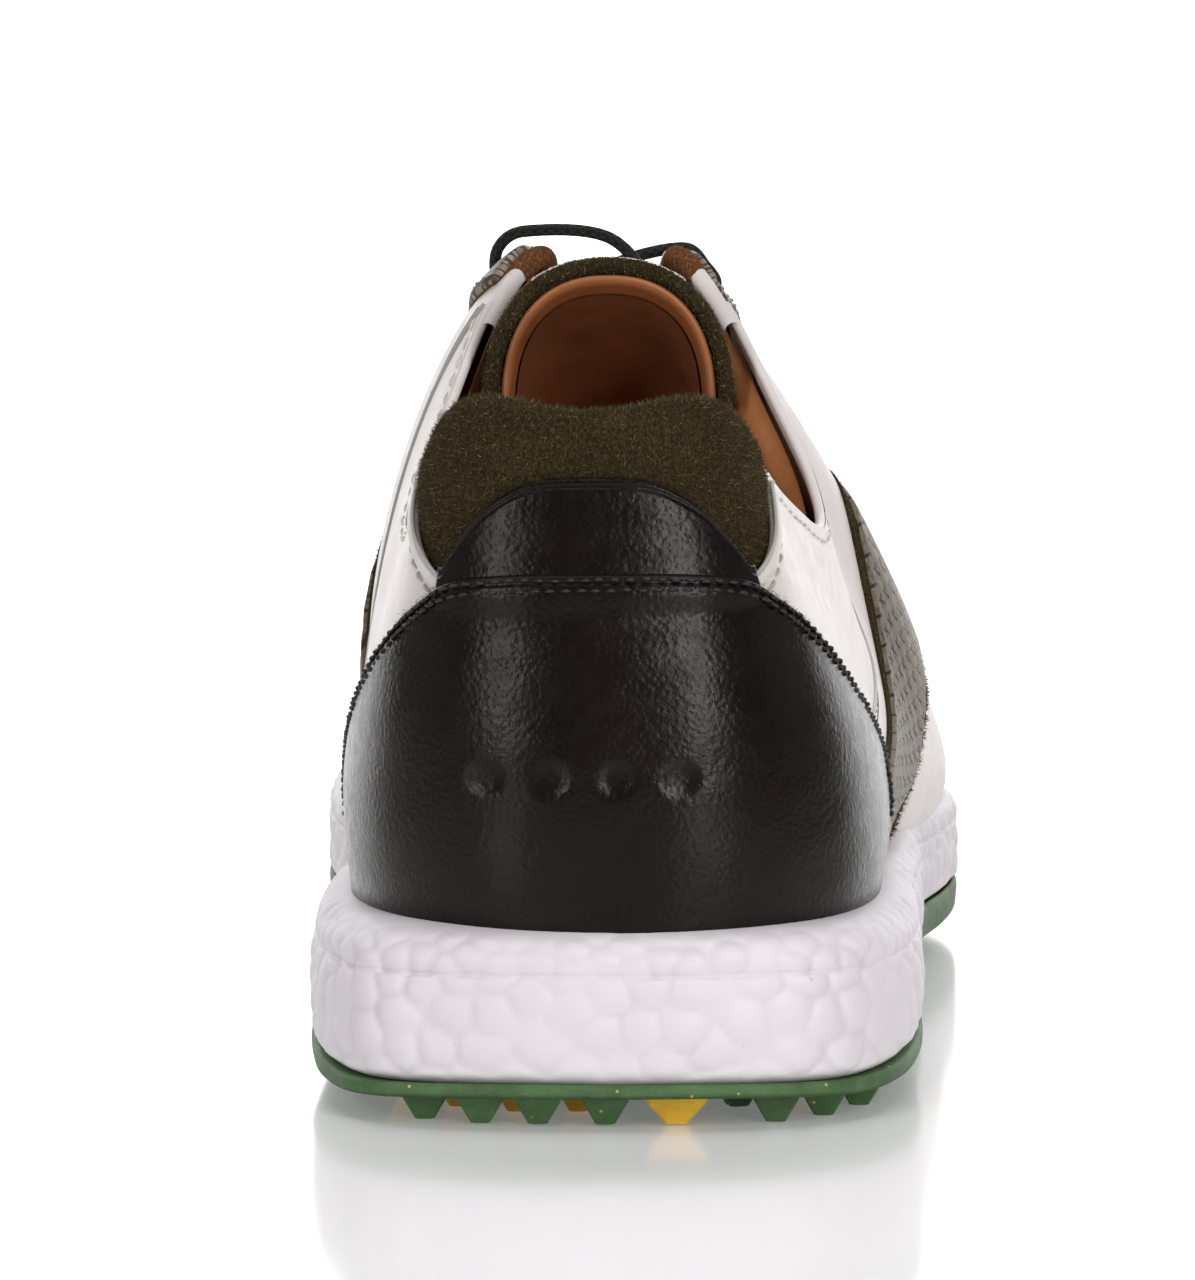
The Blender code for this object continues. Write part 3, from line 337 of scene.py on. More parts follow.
def tube_parts(points, radius, sides):
    """Vertices, faces and UVs of a tube along points. radius may vary from point to point."""
    points = np.asarray(points, float)
    _, side, other = frames_along(points)
    radius = np.broadcast_to(np.asarray(radius, float), (len(points),))
    angle = np.linspace(0, 2 * math.pi, sides, endpoint=False)
    ring = (
        np.cos(angle)[None, :, None] * side[:, None, :]
        + np.sin(angle)[None, :, None] * other[:, None, :]
    )
    verts = (points[:, None, :] + radius[:, None, None] * ring).reshape(-1, 3)
    faces = []
    for i in range(len(points) - 1):
        for j in range(sides):
            k = (j + 1) % sides
            a, b = i * sides, (i + 1) * sides
            faces.append((a + j, a + k, b + k, b + j))
    faces.append(list(range(sides))[::-1])
    faces.append([(len(points) - 1) * sides + j for j in range(sides)])
    turn = np.tile(angle / (2 * math.pi), len(points))
    uv = np.stack([turn, np.repeat(distance_along(points), sides)], axis=-1)
    return verts, faces, uv


def add_tube(name, points, radius, material, nodes=(), sides=12):
    verts, faces, uv = tube_parts(points, radius, sides)
    return add_piece(name, verts, faces, material, nodes, uv=uv)


def stitches(name, q, v, lift, material, stitch=2.3, gap=0.9, radius=0.3, wobble=0.06,
             base=None, body="shoe"):
    """One row of thread stitches along a path of stations and heights, sunk at both ends."""
    q, v = np.broadcast_arrays(np.asarray(q, float), np.asarray(v, float))
    points, out = base(q, v) if base else (raw_point(q, v), skin_normal(q, v))
    points = points + np.asarray(lift)[..., None] * out
    along = distance_along(points)
    all_verts, all_faces, first = [], [], 0
    start = gap
    while start + stitch < along[-1]:
        at = start + stitch * np.linspace(0, 1, 7) + rng.normal(0, wobble)
        line = np.stack([np.interp(at, along, points[:, k]) for k in range(3)], axis=-1)
        up = unit(np.stack([np.interp(at, along, out[:, k]) for k in range(3)], axis=-1))
        arch = np.sin(np.linspace(0.08, math.pi - 0.08, 7))
        sink = radius * (1.5 * arch - 1.0)
        line = line + sink[:, None] * up + rng.normal(0, wobble, 3)
        verts, faces, _ = tube_parts(line, radius * (0.6 + 0.4 * arch), 6)
        all_verts.append(verts)
        all_faces += [[first + i for i in f] for f in faces]
        first += len(verts)
        start += stitch + gap
    return add_piece(name, np.concatenate(all_verts), all_faces, material, body=body)


def fuzz(name, roots, out, lean, length, width, material, body="shoe"):
    """Short tapering fibres at each root: lean mixes the normal with a random direction."""
    count = len(roots)
    loose = rng.normal(0, 1, (count, 3))
    direction = unit(out + lean * loose)
    side = unit(np.cross(direction, rng.normal(0, 1, (count, 3))))
    size = length * rng.uniform(0.45, 1.15, (count, 1))
    base = roots - 0.15 * out
    verts = np.stack(
        [base - side * width / 2, base + side * width / 2, base + direction * size], axis=1
    )
    faces = np.arange(count * 3).reshape(-1, 3)
    return add_piece(name, verts, faces, material, body=body, smooth=False)


def edge_nap(name, q, v, below, lift, pick, spill, lean, length, width, material):
    """Fibres along a cut edge, rooted at the picked points of the line, below it by that much v."""
    roots = skin(q, v - below, lift)[pick] + rng.normal(0, spill, (len(pick), 3))
    fuzz(name, roots, skin_normal(q, v)[pick], lean, length, width, material)


def scatter(points, count):
    """Random places on a grid of points, spread by area, with the surface's normal there."""
    a, b, c = points[:-1, :-1], points[1:, :-1], points[:-1, 1:]
    normal = np.cross(b - a, c - a)
    area = np.linalg.norm(normal, axis=2)
    pick = rng.choice(area.size, count, p=(area / area.sum()).ravel())
    i, j = np.unravel_index(pick, area.shape)
    s, t = rng.uniform(0, 1, (2, count, 1))
    place = points[i, j] + s * (points[i + 1, j] - points[i, j]) + t * (points[i, j + 1] - points[i, j])
    return place, unit(normal[i, j])


# ---------------------------------------------------------------- materials
def srgb(*rgb):
    return tuple(((c / 255 + 0.055) / 1.055) ** 2.4 if c > 10 else c / 3295 for c in rgb)


class Shader:
    """A small helper that wires one material's nodes."""

    def __init__(self, name):
        self.material = bpy.data.materials.new(name)
        self.material.use_nodes = True
        self.nodes = self.material.node_tree.nodes
        self.links = self.material.node_tree.links
        self.surface = self.nodes["Principled BSDF"]

    def put(self, kind, inputs=None, **settings):
        node = self.nodes.new("ShaderNode" + kind)
        for key, value in settings.items():
            setattr(node, key, value)
        for key, value in (inputs or {}).items():
            self.feed(node.inputs[key], value)
        return node

    def feed(self, socket, value):
        if hasattr(value, "is_output"):
            self.links.new(value, socket)
        elif hasattr(socket.default_value, "__len__") and len(value) == 3:
            socket.default_value = (*value, 1) if len(socket.default_value) == 4 else value
        else:
            socket.default_value = value

    def set(self, **inputs):
        for key, value in inputs.items():
            self.feed(self.surface.inputs[key.replace("_", " ")], value)
        return self

    def place(self, size, uv=False, stretch=(1, 1, 1)):
        """Coordinates where one unit is size millimetres, in space or over the piece's UV."""
        where = self.put("TexCoord").outputs["UV" if uv else "Object"]
        k = (1 if uv else 1000) / size
        scale = tuple(k * s for s in stretch)
        return self.put("Mapping", {"Vector": where, "Scale": scale}).outputs["Vector"]

    def noise(self, size, detail=3.0, rough=0.55, **place):
        node = self.put("TexNoise", {"Vector": self.place(size, **place), "Scale": 1.0,
                                     "Detail": detail, "Roughness": rough})
        return node.outputs["Fac"]

    def cells(self, size, feature="F1", out="Distance", **place):
        node = self.put("TexVoronoi", {"Vector": self.place(size, **place), "Scale": 1.0},
                        feature=feature)
        return node.outputs[out]

    def ramp(self, value, low, high, a=0.0, b=1.0):
        node = self.put("MapRange", {"Value": value, "From Min": low, "From Max": high,
                                     "To Min": a, "To Max": b}, interpolation_type="SMOOTHSTEP")
        return node.outputs["Result"]

    def math(self, operation, a, b=0.0):
        node = self.put("Math", operation=operation)
        self.feed(node.inputs[0], a)
        self.feed(node.inputs[1], b)
        return node.outputs[0]

    def mix(self, factor, a, b, blend="MIX"):
        node = self.put("Mix", data_type="RGBA", blend_type=blend)
        self.feed(node.inputs[0], factor)
        self.feed(node.inputs[6], a)
        self.feed(node.inputs[7], b)
        return node.outputs[2]

    def bump(self, height, depth, strength=1.0, under=None):
        """A bump of that depth in millimetres, on top of another one if given."""
        inputs = {"Height": height, "Distance": depth * MM, "Strength": strength}
        if under is not None:
            inputs["Normal"] = under
        return self.put("Bump", inputs).outputs["Normal"]


def leather(name, colour, dark, rough=0.45, grain=0.9, depth=0.05, wear=0.25, crease=0.0,
            gloss=0.5):
    s = Shader(name)
    cloud = s.ramp(s.noise(22, 4), 0.35, 0.7)
    pores = s.cells(grain, "SMOOTH_F1")
    fine = s.noise(grain * 0.45, 2)
    height = s.math("ADD", pores, s.math("MULTIPLY", fine, 0.5))
    normal = s.bump(height, depth, 0.8)
    if crease:
        normal = s.bump(s.noise(5, 5, 0.6, stretch=(0.6, 0.6, 1.8)), crease, 0.7, normal)
    base = s.mix(s.math("MULTIPLY", cloud, wear), colour, dark)
    base = s.mix(s.ramp(pores, 0.5, 0.05, 0, 0.12), base, dark)
    s.set(Base_Color=base, Normal=normal, Specular_IOR_Level=gloss)
    s.set(Roughness=s.ramp(s.noise(3.0, 3), 0.2, 0.8, rough * 0.85, rough * 1.2))
    return s.material


def suede(name, colour, light, nap=0.4, sheen=0.12):
    s = Shader(name)
    brushed = s.noise(nap, 3, 0.7, stretch=(1, 1, 0.7))
    patches = s.noise(6.0, 3)
    mixed = s.ramp(s.math("ADD", brushed, s.math("MULTIPLY", patches, 0.2)), 0.5, 0.85)
    s.set(Base_Color=s.mix(mixed, colour, light), Roughness=0.95, Sheen_Weight=sheen)
    s.set(Sheen_Roughness=0.5, Sheen_Tint=light, Specular_IOR_Level=0.15)
    s.set(Normal=s.bump(brushed, 0.6, 1.0))
    return s.material


def fibres(name, colours):
    """Suede nap: every fibre takes its own shade between the colours."""
    s = Shader(name)
    shade = s.put("NewGeometry").outputs["Random Per Island"]
    base = s.mix(s.ramp(shade, 0.0, 0.6), colours[0], colours[1])
    s.set(Base_Color=s.mix(s.ramp(shade, 0.75, 1.0), base, colours[2]), Roughness=0.9)
    s.set(Specular_IOR_Level=0.2)
    return s.material


def weave_leather(name, light, mid, dark):
    """Leather embossed with staggered crosses, brushed along the stripe."""
    s = Shader(name)
    wobble = s.put("TexNoise", {"Vector": s.place(5.0, uv=True), "Scale": 1.0}).outputs["Color"]
    scaled = s.put("VectorMath", operation="SCALE")
    s.feed(scaled.inputs[0], wobble)
    scaled.inputs["Scale"].default_value = 0.8
    bent = s.put("VectorMath", operation="ADD")
    s.feed(bent.inputs[0], s.place(1.0, uv=True))
    s.feed(bent.inputs[1], scaled.outputs[0])
    where = s.put("SeparateXYZ", {"Vector": bent.outputs[0]})

    def from_middle(value, pitch, shift):
        turned = s.math("ADD", s.math("DIVIDE", value, pitch), shift)
        return s.math("ABSOLUTE", s.math("SUBTRACT", s.math("FRACT", turned), 0.5))

    cut = 0.0
    for shift in (0.0, 0.5):
        x = from_middle(where.outputs[0], 11.0, shift)
        y = from_middle(where.outputs[1], 5.2, shift)
        dash = s.math("MULTIPLY", s.ramp(x, 0.3, 0.24), s.ramp(y, 0.075, 0.035))
        post = s.math("MULTIPLY", s.ramp(x, 0.045, 0.025), s.ramp(y, 0.3, 0.24))
        cut = s.math("MAXIMUM", cut, s.math("MAXIMUM", dash, post))
    strokes = s.noise(0.6, 3, 0.7, uv=True, stretch=(2.0, 0.3, 1))
    marks = s.ramp(s.noise(1.6, 3, 0.65, uv=True, stretch=(1.6, 0.6, 1)), 0.55, 0.7)
    tone = s.mix(s.ramp(strokes, 0.3, 0.7), light, mid)
    tone = s.mix(s.math("MULTIPLY", marks, 0.6), tone, dark)
    tone = s.mix(s.math("MULTIPLY", cut, 0.95), tone, dark)
    height = s.math("SUBTRACT", strokes, s.math("MULTIPLY", cut, 1.6))
    height = s.math("SUBTRACT", height, s.math("MULTIPLY", marks, 0.5))
    s.set(Base_Color=tone, Roughness=0.42, Metallic=0.2, Normal=s.bump(height, 0.25, 0.9))
    return s.material


def tile_leather(name, light, mid, dark, size=2.3):
    """Leather embossed with small irregular scales."""
    s = Shader(name)
    edge = s.cells(size, "DISTANCE_TO_EDGE", uv=True, stretch=(1, 1.25, 1))
    tone = s.cells(size, out="Color", uv=True, stretch=(1, 1.25, 1))
    shade = s.put("SeparateColor", {"Color": tone}).outputs[0]
    groove = s.ramp(edge, 0.02, 0.14)
    base = s.mix(shade, mid, light)
    base = s.mix(s.ramp(s.noise(0.6, 3), 0.5, 0.75, 0, 0.5), base, dark)
    s.set(Base_Color=s.mix(groove, dark, base), Roughness=0.45, Metallic=0.15)
    s.set(Normal=s.bump(groove, 0.2, 0.9))
    return s.material


def bead_foam(name, colour, shade):
    """Expanded foam beads; the mesh carries how deep in a crease each point is, and the creases are
    painted towards the shade colour as painted shade.
    """
    s = Shader(name)
    crease = s.put("Attribute", attribute_name="crease").outputs["Fac"]
    skin_noise = s.noise(0.5, 3)
    specks = s.ramp(s.noise(1.3, 2), 0.74, 0.78)
    # Painted shade: the creases between beads and the ledge line mix up to 0.16 towards the shade
    # colour.
    base = s.mix(s.ramp(crease, 0.15, 1.0, 0, 0.16), colour, shade)
    base = s.mix(s.ramp(s.noise(18, 4), 0.5, 0.75, 0, 0.22), base, srgb(206, 198, 204))
    base = s.mix(s.math("MULTIPLY", specks, 0.35), base, srgb(150, 140, 140))
    s.set(Base_Color=base, Roughness=0.5, Subsurface_Weight=0.0)
    s.set(Normal=s.bump(skin_noise, 0.05, 0.6))
    return s.material


def rubber(name, colour, dark, light, speck=None):
    s = Shader(name)
    pebble = s.cells(0.55, "SMOOTH_F1")
    dust = s.ramp(s.noise(4.0, 5, 0.65), 0.45, 0.75)
    base = s.mix(s.ramp(s.noise(9.0, 3), 0.35, 0.7), colour, dark)
    base = s.mix(s.math("MULTIPLY", dust, 0.35), base, light)
    if speck:
        spots = s.ramp(s.cells(3.2), 0.1, 0.05)
        base = s.mix(spots, base, speck)
    s.set(Base_Color=base, Roughness=s.ramp(dust, 0, 1, 0.55, 0.75))
    s.set(Normal=s.bump(s.math("ADD", pebble, s.noise(0.3, 2)), 0.09, 0.8))
    return s.material


def braid(name, colour, light, across=10.0, pitch=1.7):
    """Plaited thread over a tube whose UV is (turn, millimetres)."""
    s = Shader(name)
    where = s.put("SeparateXYZ", {"Vector": s.put("TexCoord").outputs["UV"]})
    turn = s.math("MULTIPLY", where.outputs[0], across * math.pi)
    along = s.math("MULTIPLY", where.outputs[1], 2 * math.pi / pitch)
    one = s.math("SINE", s.math("ADD", turn, along))
    two = s.math("SINE", s.math("SUBTRACT", turn, along))
    height = s.math("MAXIMUM", one, two)
    # Painted highlight and shade: the raised strands are mixed towards the lighter colour, the hollows
    # between them stay dark.
    base = s.mix(s.ramp(height, 0.2, 1.0), colour, light)
    s.set(Base_Color=base, Roughness=0.7, Specular_IOR_Level=0.35)
    s.set(Normal=s.bump(height, 0.16, 0.8))
    return s.material


def thread(name, colour, rough=0.7):
    s = Shader(name)
    twist = s.noise(0.3, 2)
    s.set(Base_Color=s.mix(s.ramp(twist, 0.3, 0.8, 0, 0.35), colour, tuple(c * 0.5 for c in colour)))
    s.set(Roughness=rough, Normal=s.bump(twist, 0.06, 0.6))
    return s.material


def cloth(name, colour, dark, size=0.8):
    s = Shader(name)
    threads = s.put("TexChecker", {"Vector": s.place(size), "Scale": 1.0}).outputs["Fac"]
    base = s.mix(s.ramp(s.noise(size, 3), 0.3, 0.8), colour, dark)
    s.set(Base_Color=base, Roughness=0.92, Normal=s.bump(threads, 0.08, 0.5))
    return s.material


def metal(name, colour):
    s = Shader(name)
    s.set(Base_Color=colour, Metallic=1.0, Roughness=0.35)
    s.set(Normal=s.bump(s.noise(0.8, 3, stretch=(4, 0.2, 4)), 0.02, 0.5))
    return s.material


WHITE = srgb(226, 217, 214)
WHITE_DARK = srgb(206, 196, 193)
OLIVE, OLIVE_LIGHT = srgb(42, 35, 19), srgb(82, 70, 42)
white_leather = leather("white_leather", WHITE, WHITE_DARK, 0.42, 1.0, 0.035, 0.35)
rim_leather = leather("rim_leather", srgb(226, 220, 214), WHITE_DARK, 0.4, 1.1, 0.05, 0.4)
counter_leather = leather(
    "counter_leather", srgb(22, 14, 10), srgb(10, 6, 5), 0.28, 0.8, 0.09, 0.7, crease=0.05, gloss=0.2
)
tan_leather = leather("tan_leather", srgb(166, 104, 62), srgb(112, 62, 32), 0.38, 0.9, 0.06, 0.8,
                      crease=0.15)
# The quarter lining's tan leather, painted much lighter than its own colour: painted light inside the
# quarters, where the lamps reach little.
lining_leather_painted_light = leather("lining_leather_painted_light", srgb(218, 150, 96), srgb(180, 112, 66), 0.5, 0.9, 0.06, 0.8)
# The tongue's tan lining, the same leather as the roll in tan_leather but painted darker: painted shade
# inside the tongue.
tongue_inside_painted_shade = leather("tongue_inside_painted_shade", srgb(124, 72, 40), srgb(80, 44, 22), 0.55, 0.9, 0.05, 0.8)
olive_suede = suede("olive_suede", OLIVE, OLIVE_LIGHT)
brown_suede = suede("brown_suede", srgb(92, 58, 34), srgb(150, 100, 62))
olive_fibres = fibres("olive_fibres", (srgb(48, 40, 22), srgb(88, 75, 46), srgb(146, 128, 92)))
brown_fibres = fibres("brown_fibres", (srgb(70, 40, 20), srgb(120, 74, 40), srgb(170, 118, 72)))
black_fibres = fibres("black_fibres", (srgb(22, 16, 12), srgb(44, 32, 24), srgb(86, 66, 50)))
stripe_leather = weave_leather("stripe_leather", srgb(138, 126, 110), srgb(92, 79, 64),
                               srgb(26, 18, 12))
tile_face = tile_leather("tile_face", srgb(172, 162, 151), srgb(130, 117, 105), srgb(58, 45, 37))
midsole_foam = bead_foam("midsole_foam", srgb(230, 223, 228), srgb(186, 176, 184))
green_rubber = rubber("green_rubber", srgb(72, 108, 60), srgb(56, 86, 46), srgb(112, 140, 98),
                      speck=srgb(206, 170, 70))
yellow_rubber = rubber("yellow_rubber", srgb(226, 182, 48), srgb(204, 152, 34), srgb(238, 206, 110))
black_braid = braid("black_braid", srgb(10, 9, 9), srgb(38, 34, 32))
grey_cord = leather("grey_cord", srgb(166, 163, 158), srgb(132, 128, 124), 0.42, 0.6, 0.04, 0.3)
grey_thread = thread("grey_thread", srgb(184, 180, 174))
brown_thread = thread("brown_thread", srgb(120, 96, 76))
black_thread = thread("black_thread", srgb(26, 21, 19), 0.5)
white_thread = thread("white_thread", srgb(226, 220, 214))
lining_cloth = cloth("lining_cloth", srgb(176, 164, 144), srgb(140, 128, 110))
board = cloth("board", srgb(186, 168, 134), srgb(150, 132, 100), 1.6)
stiff_fabric = cloth("stiff_fabric", srgb(170, 160, 140), srgb(138, 128, 110), 1.0)
steel = metal("steel", srgb(178, 178, 184))
clear_tip = Shader("clear_tip").set(
    Base_Color=srgb(34, 32, 30), Roughness=0.18, Coat_Weight=0.6
).material


# ---------------------------------------------------------------- the sole
PLATE_BOTTOM = 4.0
SPRING_START, SPRING_LENGTH, TOE_SPRING = 205.0, 100.0, 10.0
YELLOW_LUGS = (
    (8.6, 7.5), (-5.5, 19.5), (-14.5, 19.5), (-23.0, 24.0), (-30.5, 33.0), (26.0, 40.0),
    (-25.0, 62.0), (30.0, 176.0), (-28.0, 204.0), (18.0, 226.0), (-12.0, 258.0),
)
REAR_ROW = (
    (-27.7, 13.5), (-19.6, 9.0), (-11.3, 7.4), (-1.6, 6.6), (23.0, 10.5), (30.1, 16.5), (35.6, 25.5)
)
EDGE_STATIONS = (
    3.7, 4.5, 5.2, 5.9, 6.7, 7.7, 9.0, 10.3, 11.6, 12.8, 14.0, 15.1, 16.1, 17.1, 18.1, 19.1
)
LUG_SPACING = 15.5
ARCH = (92.0, 146.0)  # smooth stretch of the sole between the heel and the ball
BULGE = smooth_table(
    ((0, 6.4), (2, 8.6), (3.5, 9.2), (6, 7.0), (8, 4.8), (10, 3.7), (14, 2.8), (17, 3.4), (20, 5.2))
)
WAIST = smooth_table(((0, 0), (6, 0), (7.5, 1.4), (9, 3.6), (10.5, 3.4), (12, 1.6), (14, 0), (20, 0)))
HEEL_CORNER = smooth_table(
    ((0, 0), (0.8, 1.4), (1.6, 4.6), (2.2, 2.8), (2.8, 0.7), (3.4, 0), (20, 0))
)
RIM_HEIGHT = smooth_table(((0, 5.6), (2, 6.3), (4, 8.6), (8, 9.6), (14, 9.4), (18, 9.0), (20, 8.6)))


def spring(y):
    toe = np.maximum(0.0, (y - SPRING_START) / SPRING_LENGTH)
    heel = np.maximum(0.0, (14 - y) / 14)
    return TOE_SPRING * toe * toe + 1.2 * heel * heel


def sole_outline(q, share, extra=0.0):
    """Points round the sole at a share of its bulge, and the horizontal way out there."""
    here = controls(q)[..., 0, :]
    along = controls(q + 0.05)[..., 0, :] - controls(q - 0.05)[..., 0, :]
    out = unit(np.stack([along[..., 1], -along[..., 0], np.zeros(len(q))], axis=-1))
    k = np.minimum(q, STATIONS - q)
    reach = share * BULGE(k) + extra
    corner = HEEL_CORNER(k) * np.clip(reach / BULGE(k), 0, 1)
    cut = np.where(q < TOE, WAIST(q) - 0.5 * corner, -corner)
    return here + (reach - cut)[:, None] * out, out, k


def around(heel_step, far_step, reach=150.0):
    """Stations round the sole, closer together at the heel. Steps are in millimetres."""
    q = np.linspace(0, STATIONS, 2001)
    points, _, _ = sole_outline(q % STATIONS, 1.0)
    length = distance_along(points)
    middle = (length[1:] + length[:-1]) / 2
    from_heel = np.minimum(middle, length[-1] - middle)
    blend = np.clip((from_heel - reach) / 40, 0, 1)
    density = (1 - blend) / heel_step + blend / far_step
    count = np.concatenate([[0], np.cumsum(density * np.diff(length))])
    steps = int(count[-1])
    return np.interp(np.arange(steps) * count[-1] / steps, count, q)


def midsole_profile():
    """Rows up the sidewall: (share of the bulge, extra out, height from 0 to 1)."""
    knots = np.array(
        [
            (0.62, -1.4, -0.06), (0.86, -0.6, -0.03), (0.955, 0, 0.03), (1.0, 0, 0.14),
            (1.01, 0.1, 0.32), (1.0, 0.1, 0.5), (0.985, 0, 0.63), (0.955, 0, 0.70),
            (0.93, -0.1, 0.735), (0.935, -0.1, 0.77), (0.92, 0, 0.84), (0.84, 0, 0.92),
            (0.68, 0, 0.985), (0.45, 0, 1.03), (0.1, 0, 1.05), (0, -3.0, 1.05),
        ]
    )
    t = np.linspace(0, 1, len(knots))
    fine = np.linspace(0, 1, 64)
    curve = [smooth_table(np.stack([t, knots[:, k]], axis=1))(fine) for k in range(3)]
    return np.stack(curve, axis=1)


def bead_seeds(points, spacing, rows):
    """Scattered centres over the sidewall, about the given spacing apart."""
    place, _ = scatter(points[:, rows], 9000)
    closest = spacing * 0.72
    kept = []
    cells = {}
    for p in place:
        i, j, k = (p // spacing).astype(int)
        around_p = itertools.product((i - 1, i, i + 1), (j - 1, j, j + 1), (k - 1, k, k + 1))
        others = [other for key in around_p for other in cells.get(key, ())]
        if not any(np.sum((other - p) ** 2) < closest**2 for other in others):
            cells.setdefault((i, j, k), []).append(p)
            kept.append(p)
    return np.array(kept)


def nearest_two(points, seeds):
    """Distances from each point to its nearest two seeds."""
    first = np.empty(len(points))
    second = np.empty(len(points))
    for start in range(0, len(points), 4096):
        block = points[start : start + 4096]
        squared = ((block[:, None, :] - seeds[None, :, :]) ** 2).sum(axis=2)
        two = np.sqrt(np.partition(squared, 1, axis=1)[:, :2])
        first[start : start + 4096], second[start : start + 4096] = two[:, 0], two[:, 1]
    return first, second


def midsole():
    q = around(0.55, 1.3)
    profile = midsole_profile()
    rows, outs = [], []
    for share, extra, height in profile:
        points, out, k = sole_outline(q, share, extra)
        low = RIM_HEIGHT(k) + spring(points[:, 1]) + 0.8
        top = controls(q)[:, 0, 2] - 2.0
        points[:, 2] = low + height * (top - low)
        rows.append(points)
        outs.append(out)
    verts = np.stack(rows, axis=1)
    across = np.roll(verts, -1, axis=0) - np.roll(verts, 1, axis=0)
    up = np.gradient(verts, axis=1)
    out = unit(np.cross(across, up))
    height = profile[:, 2][None, :] * np.ones((len(q), 1))
    flat = verts.reshape(-1, 3)
    body_seeds = bead_seeds(verts, 7.0, slice(4, 36))
    band_seeds = bead_seeds(verts, 5.0, slice(36, 60))
    lift = np.zeros(len(flat))
    crease = np.zeros(len(flat))
    level = height.ravel()
    squash = np.array([1, 1, 1.15])
    for seeds, chosen, size, depth in (
        (body_seeds, level < 0.715, 4.2, 0.3),
        (band_seeds, level >= 0.715, 3.4, 0.2),
    ):
        f1, f2 = nearest_two(flat[chosen] * squash, seeds * squash)
        gap = np.exp(-(((f2 - f1) / 1.3) ** 2))
        x, y, z = flat[chosen].T
        strength = 0.6 + 0.3 * np.sin(0.21 * x + 0.13 * y)
        strength += 0.3 * np.sin(0.47 * z - 0.33 * x + 0.2 * y)
        strength = np.clip(strength, 0.35, 1.0)
        dome = 0.6 * (1 - np.clip(f1 / size, 0, 1) ** 2)
        # the crease values darken the foam's colour: painted shade between the beads
        crease[chosen] = gap * strength
        lift[chosen] = (0.5 + 0.5 * strength) * (dome - depth * gap)
    ledge = np.exp(-(((level - 0.735) / 0.018) ** 2))
    lift -= 0.15 * ledge
    # the ledge line joins the crease values and so gets painted shade too
    crease = np.maximum(crease, 0.3 * ledge)
    fade = np.clip(level / 0.06, 0, 1) * np.clip((1.03 - level) / 0.08, 0, 1)
    verts = flat + (lift * fade)[:, None] * out.reshape(-1, 3)
    n, m = len(q), len(profile)
    inner, _, _ = sole_outline(q, 0.0, -7.0)
    inner[:, 2] = controls(q)[:, 0, 2] - 2.4
    verts = np.concatenate([verts.reshape(n, m, 3), inner[:, None, :]], axis=1)
    crease = np.concatenate([(crease * fade).reshape(n, m), np.zeros((n, 1))], axis=1).ravel()
    made = add_piece("midsole_foam_shell", verts, grid_faces(n, m + 1, wrap=True), midsole_foam,
                     ("midsole",))
    layer = made.data.attributes.new("crease", "FLOAT", "POINT")
    layer.data.foreach_set("value", crease)


def outsole_plate():
    """The rubber tray: a lip round the foam, a rounded rim and the flat underside."""
    q = around(0.9, 1.8)
    rows = []
    for share, extra, level, high in (
        (0.80, 0.0, 1, 0.1), (0.95, 0.0, 1, 0.15), (1.0, 0.15, 1, 0.0), (1.0, 0.35, 1, -0.5),
        (1.0, 0.4, 1, -1.2), (1.0, 0.35, 1, -2.0), (0.97, 0.2, 0, 1.1), (0.90, 0.1, 0, 0.5),
        (0.80, 0.0, 0, 0.15), (0.66, 0.0, 0, 0.0), (0.3, -2.0, 0, 0.0),
    ):
        points, _, k = sole_outline(q, share, extra)
        ground = spring(points[:, 1])
        points[:, 2] = np.where(level, RIM_HEIGHT(k), PLATE_BOTTOM) + ground + high
        rows.append(points)
    rim = rows[-1]
    axis = np.interp(rim[:, 1], (0, 150, 300), (0, 2.0, -6.0))
    for share in np.linspace(0.93, 0.0, 16):
        middle = rim * np.array([share, 1.0, 1.0])
        middle[:, 0] += (1 - share) * axis
        middle[:, 2] = PLATE_BOTTOM + spring(middle[:, 1])
        rows.append(middle)
    verts = np.stack(rows, axis=1)
    faces = grid_faces(*verts.shape[:2], wrap=True)[:, ::-1]
    add_piece("outsole_plate", verts, faces, green_rubber, ("outsole",))


def outline(margin):
    q = np.linspace(0, STATIONS, 97)[:-1]
    return sole_outline(q, 1.0, -margin)[0][:, :2]


def inside(point, loop):
    x, y = point
    crossings = 0
    for (x0, y0), (x1, y1) in zip(loop, np.roll(loop, -1, axis=0)):
        if (y0 > y) != (y1 > y) and x < x0 + (y - y0) * (x1 - x0) / (y1 - y0):
            crossings += 1
    return crossings % 2 == 1


def lug_places():
    """Every green lug, as the CAD sets them: the rear row, the edge all round and the field."""
    base, tip = 6.6, 2.9
    places = [(x, y, base, tip, 0.0) for x, y in REAR_ROW]
    for station in EDGE_STATIONS:
        for q in (station, STATIONS - station):
            here = controls(q)[0]
            along = controls(q + 0.05)[0] - controls(q - 0.05)[0]
            out = np.array([along[1], -along[0]]) / math.hypot(along[0], along[1])
            reach = float(BULGE(station)) - 8.4
            x, y = here[0] + reach * out[0], here[1] + reach * out[1]
            if min(math.dist((x, y), p) for p in YELLOW_LUGS) > 8.5:
                places.append((x, y, base, tip, math.atan2(out[1], out[0])))
    field = outline(14.5)
    row = 0
    for y in np.arange(24.0, 290.0, LUG_SPACING * 0.85):
        row += 1
        if ARCH[0] < y < ARCH[1]:
            continue
        for x in np.arange(-52 + row % 2 * LUG_SPACING / 2, 62, LUG_SPACING):
            taken = [p[:2] for p in places] + list(YELLOW_LUGS)
            if inside((x, y), field) and min(math.dist((x, y), p) for p in taken) > 9.0:
                places.append((x, y, base - 0.6, tip, 0.3))
    return places


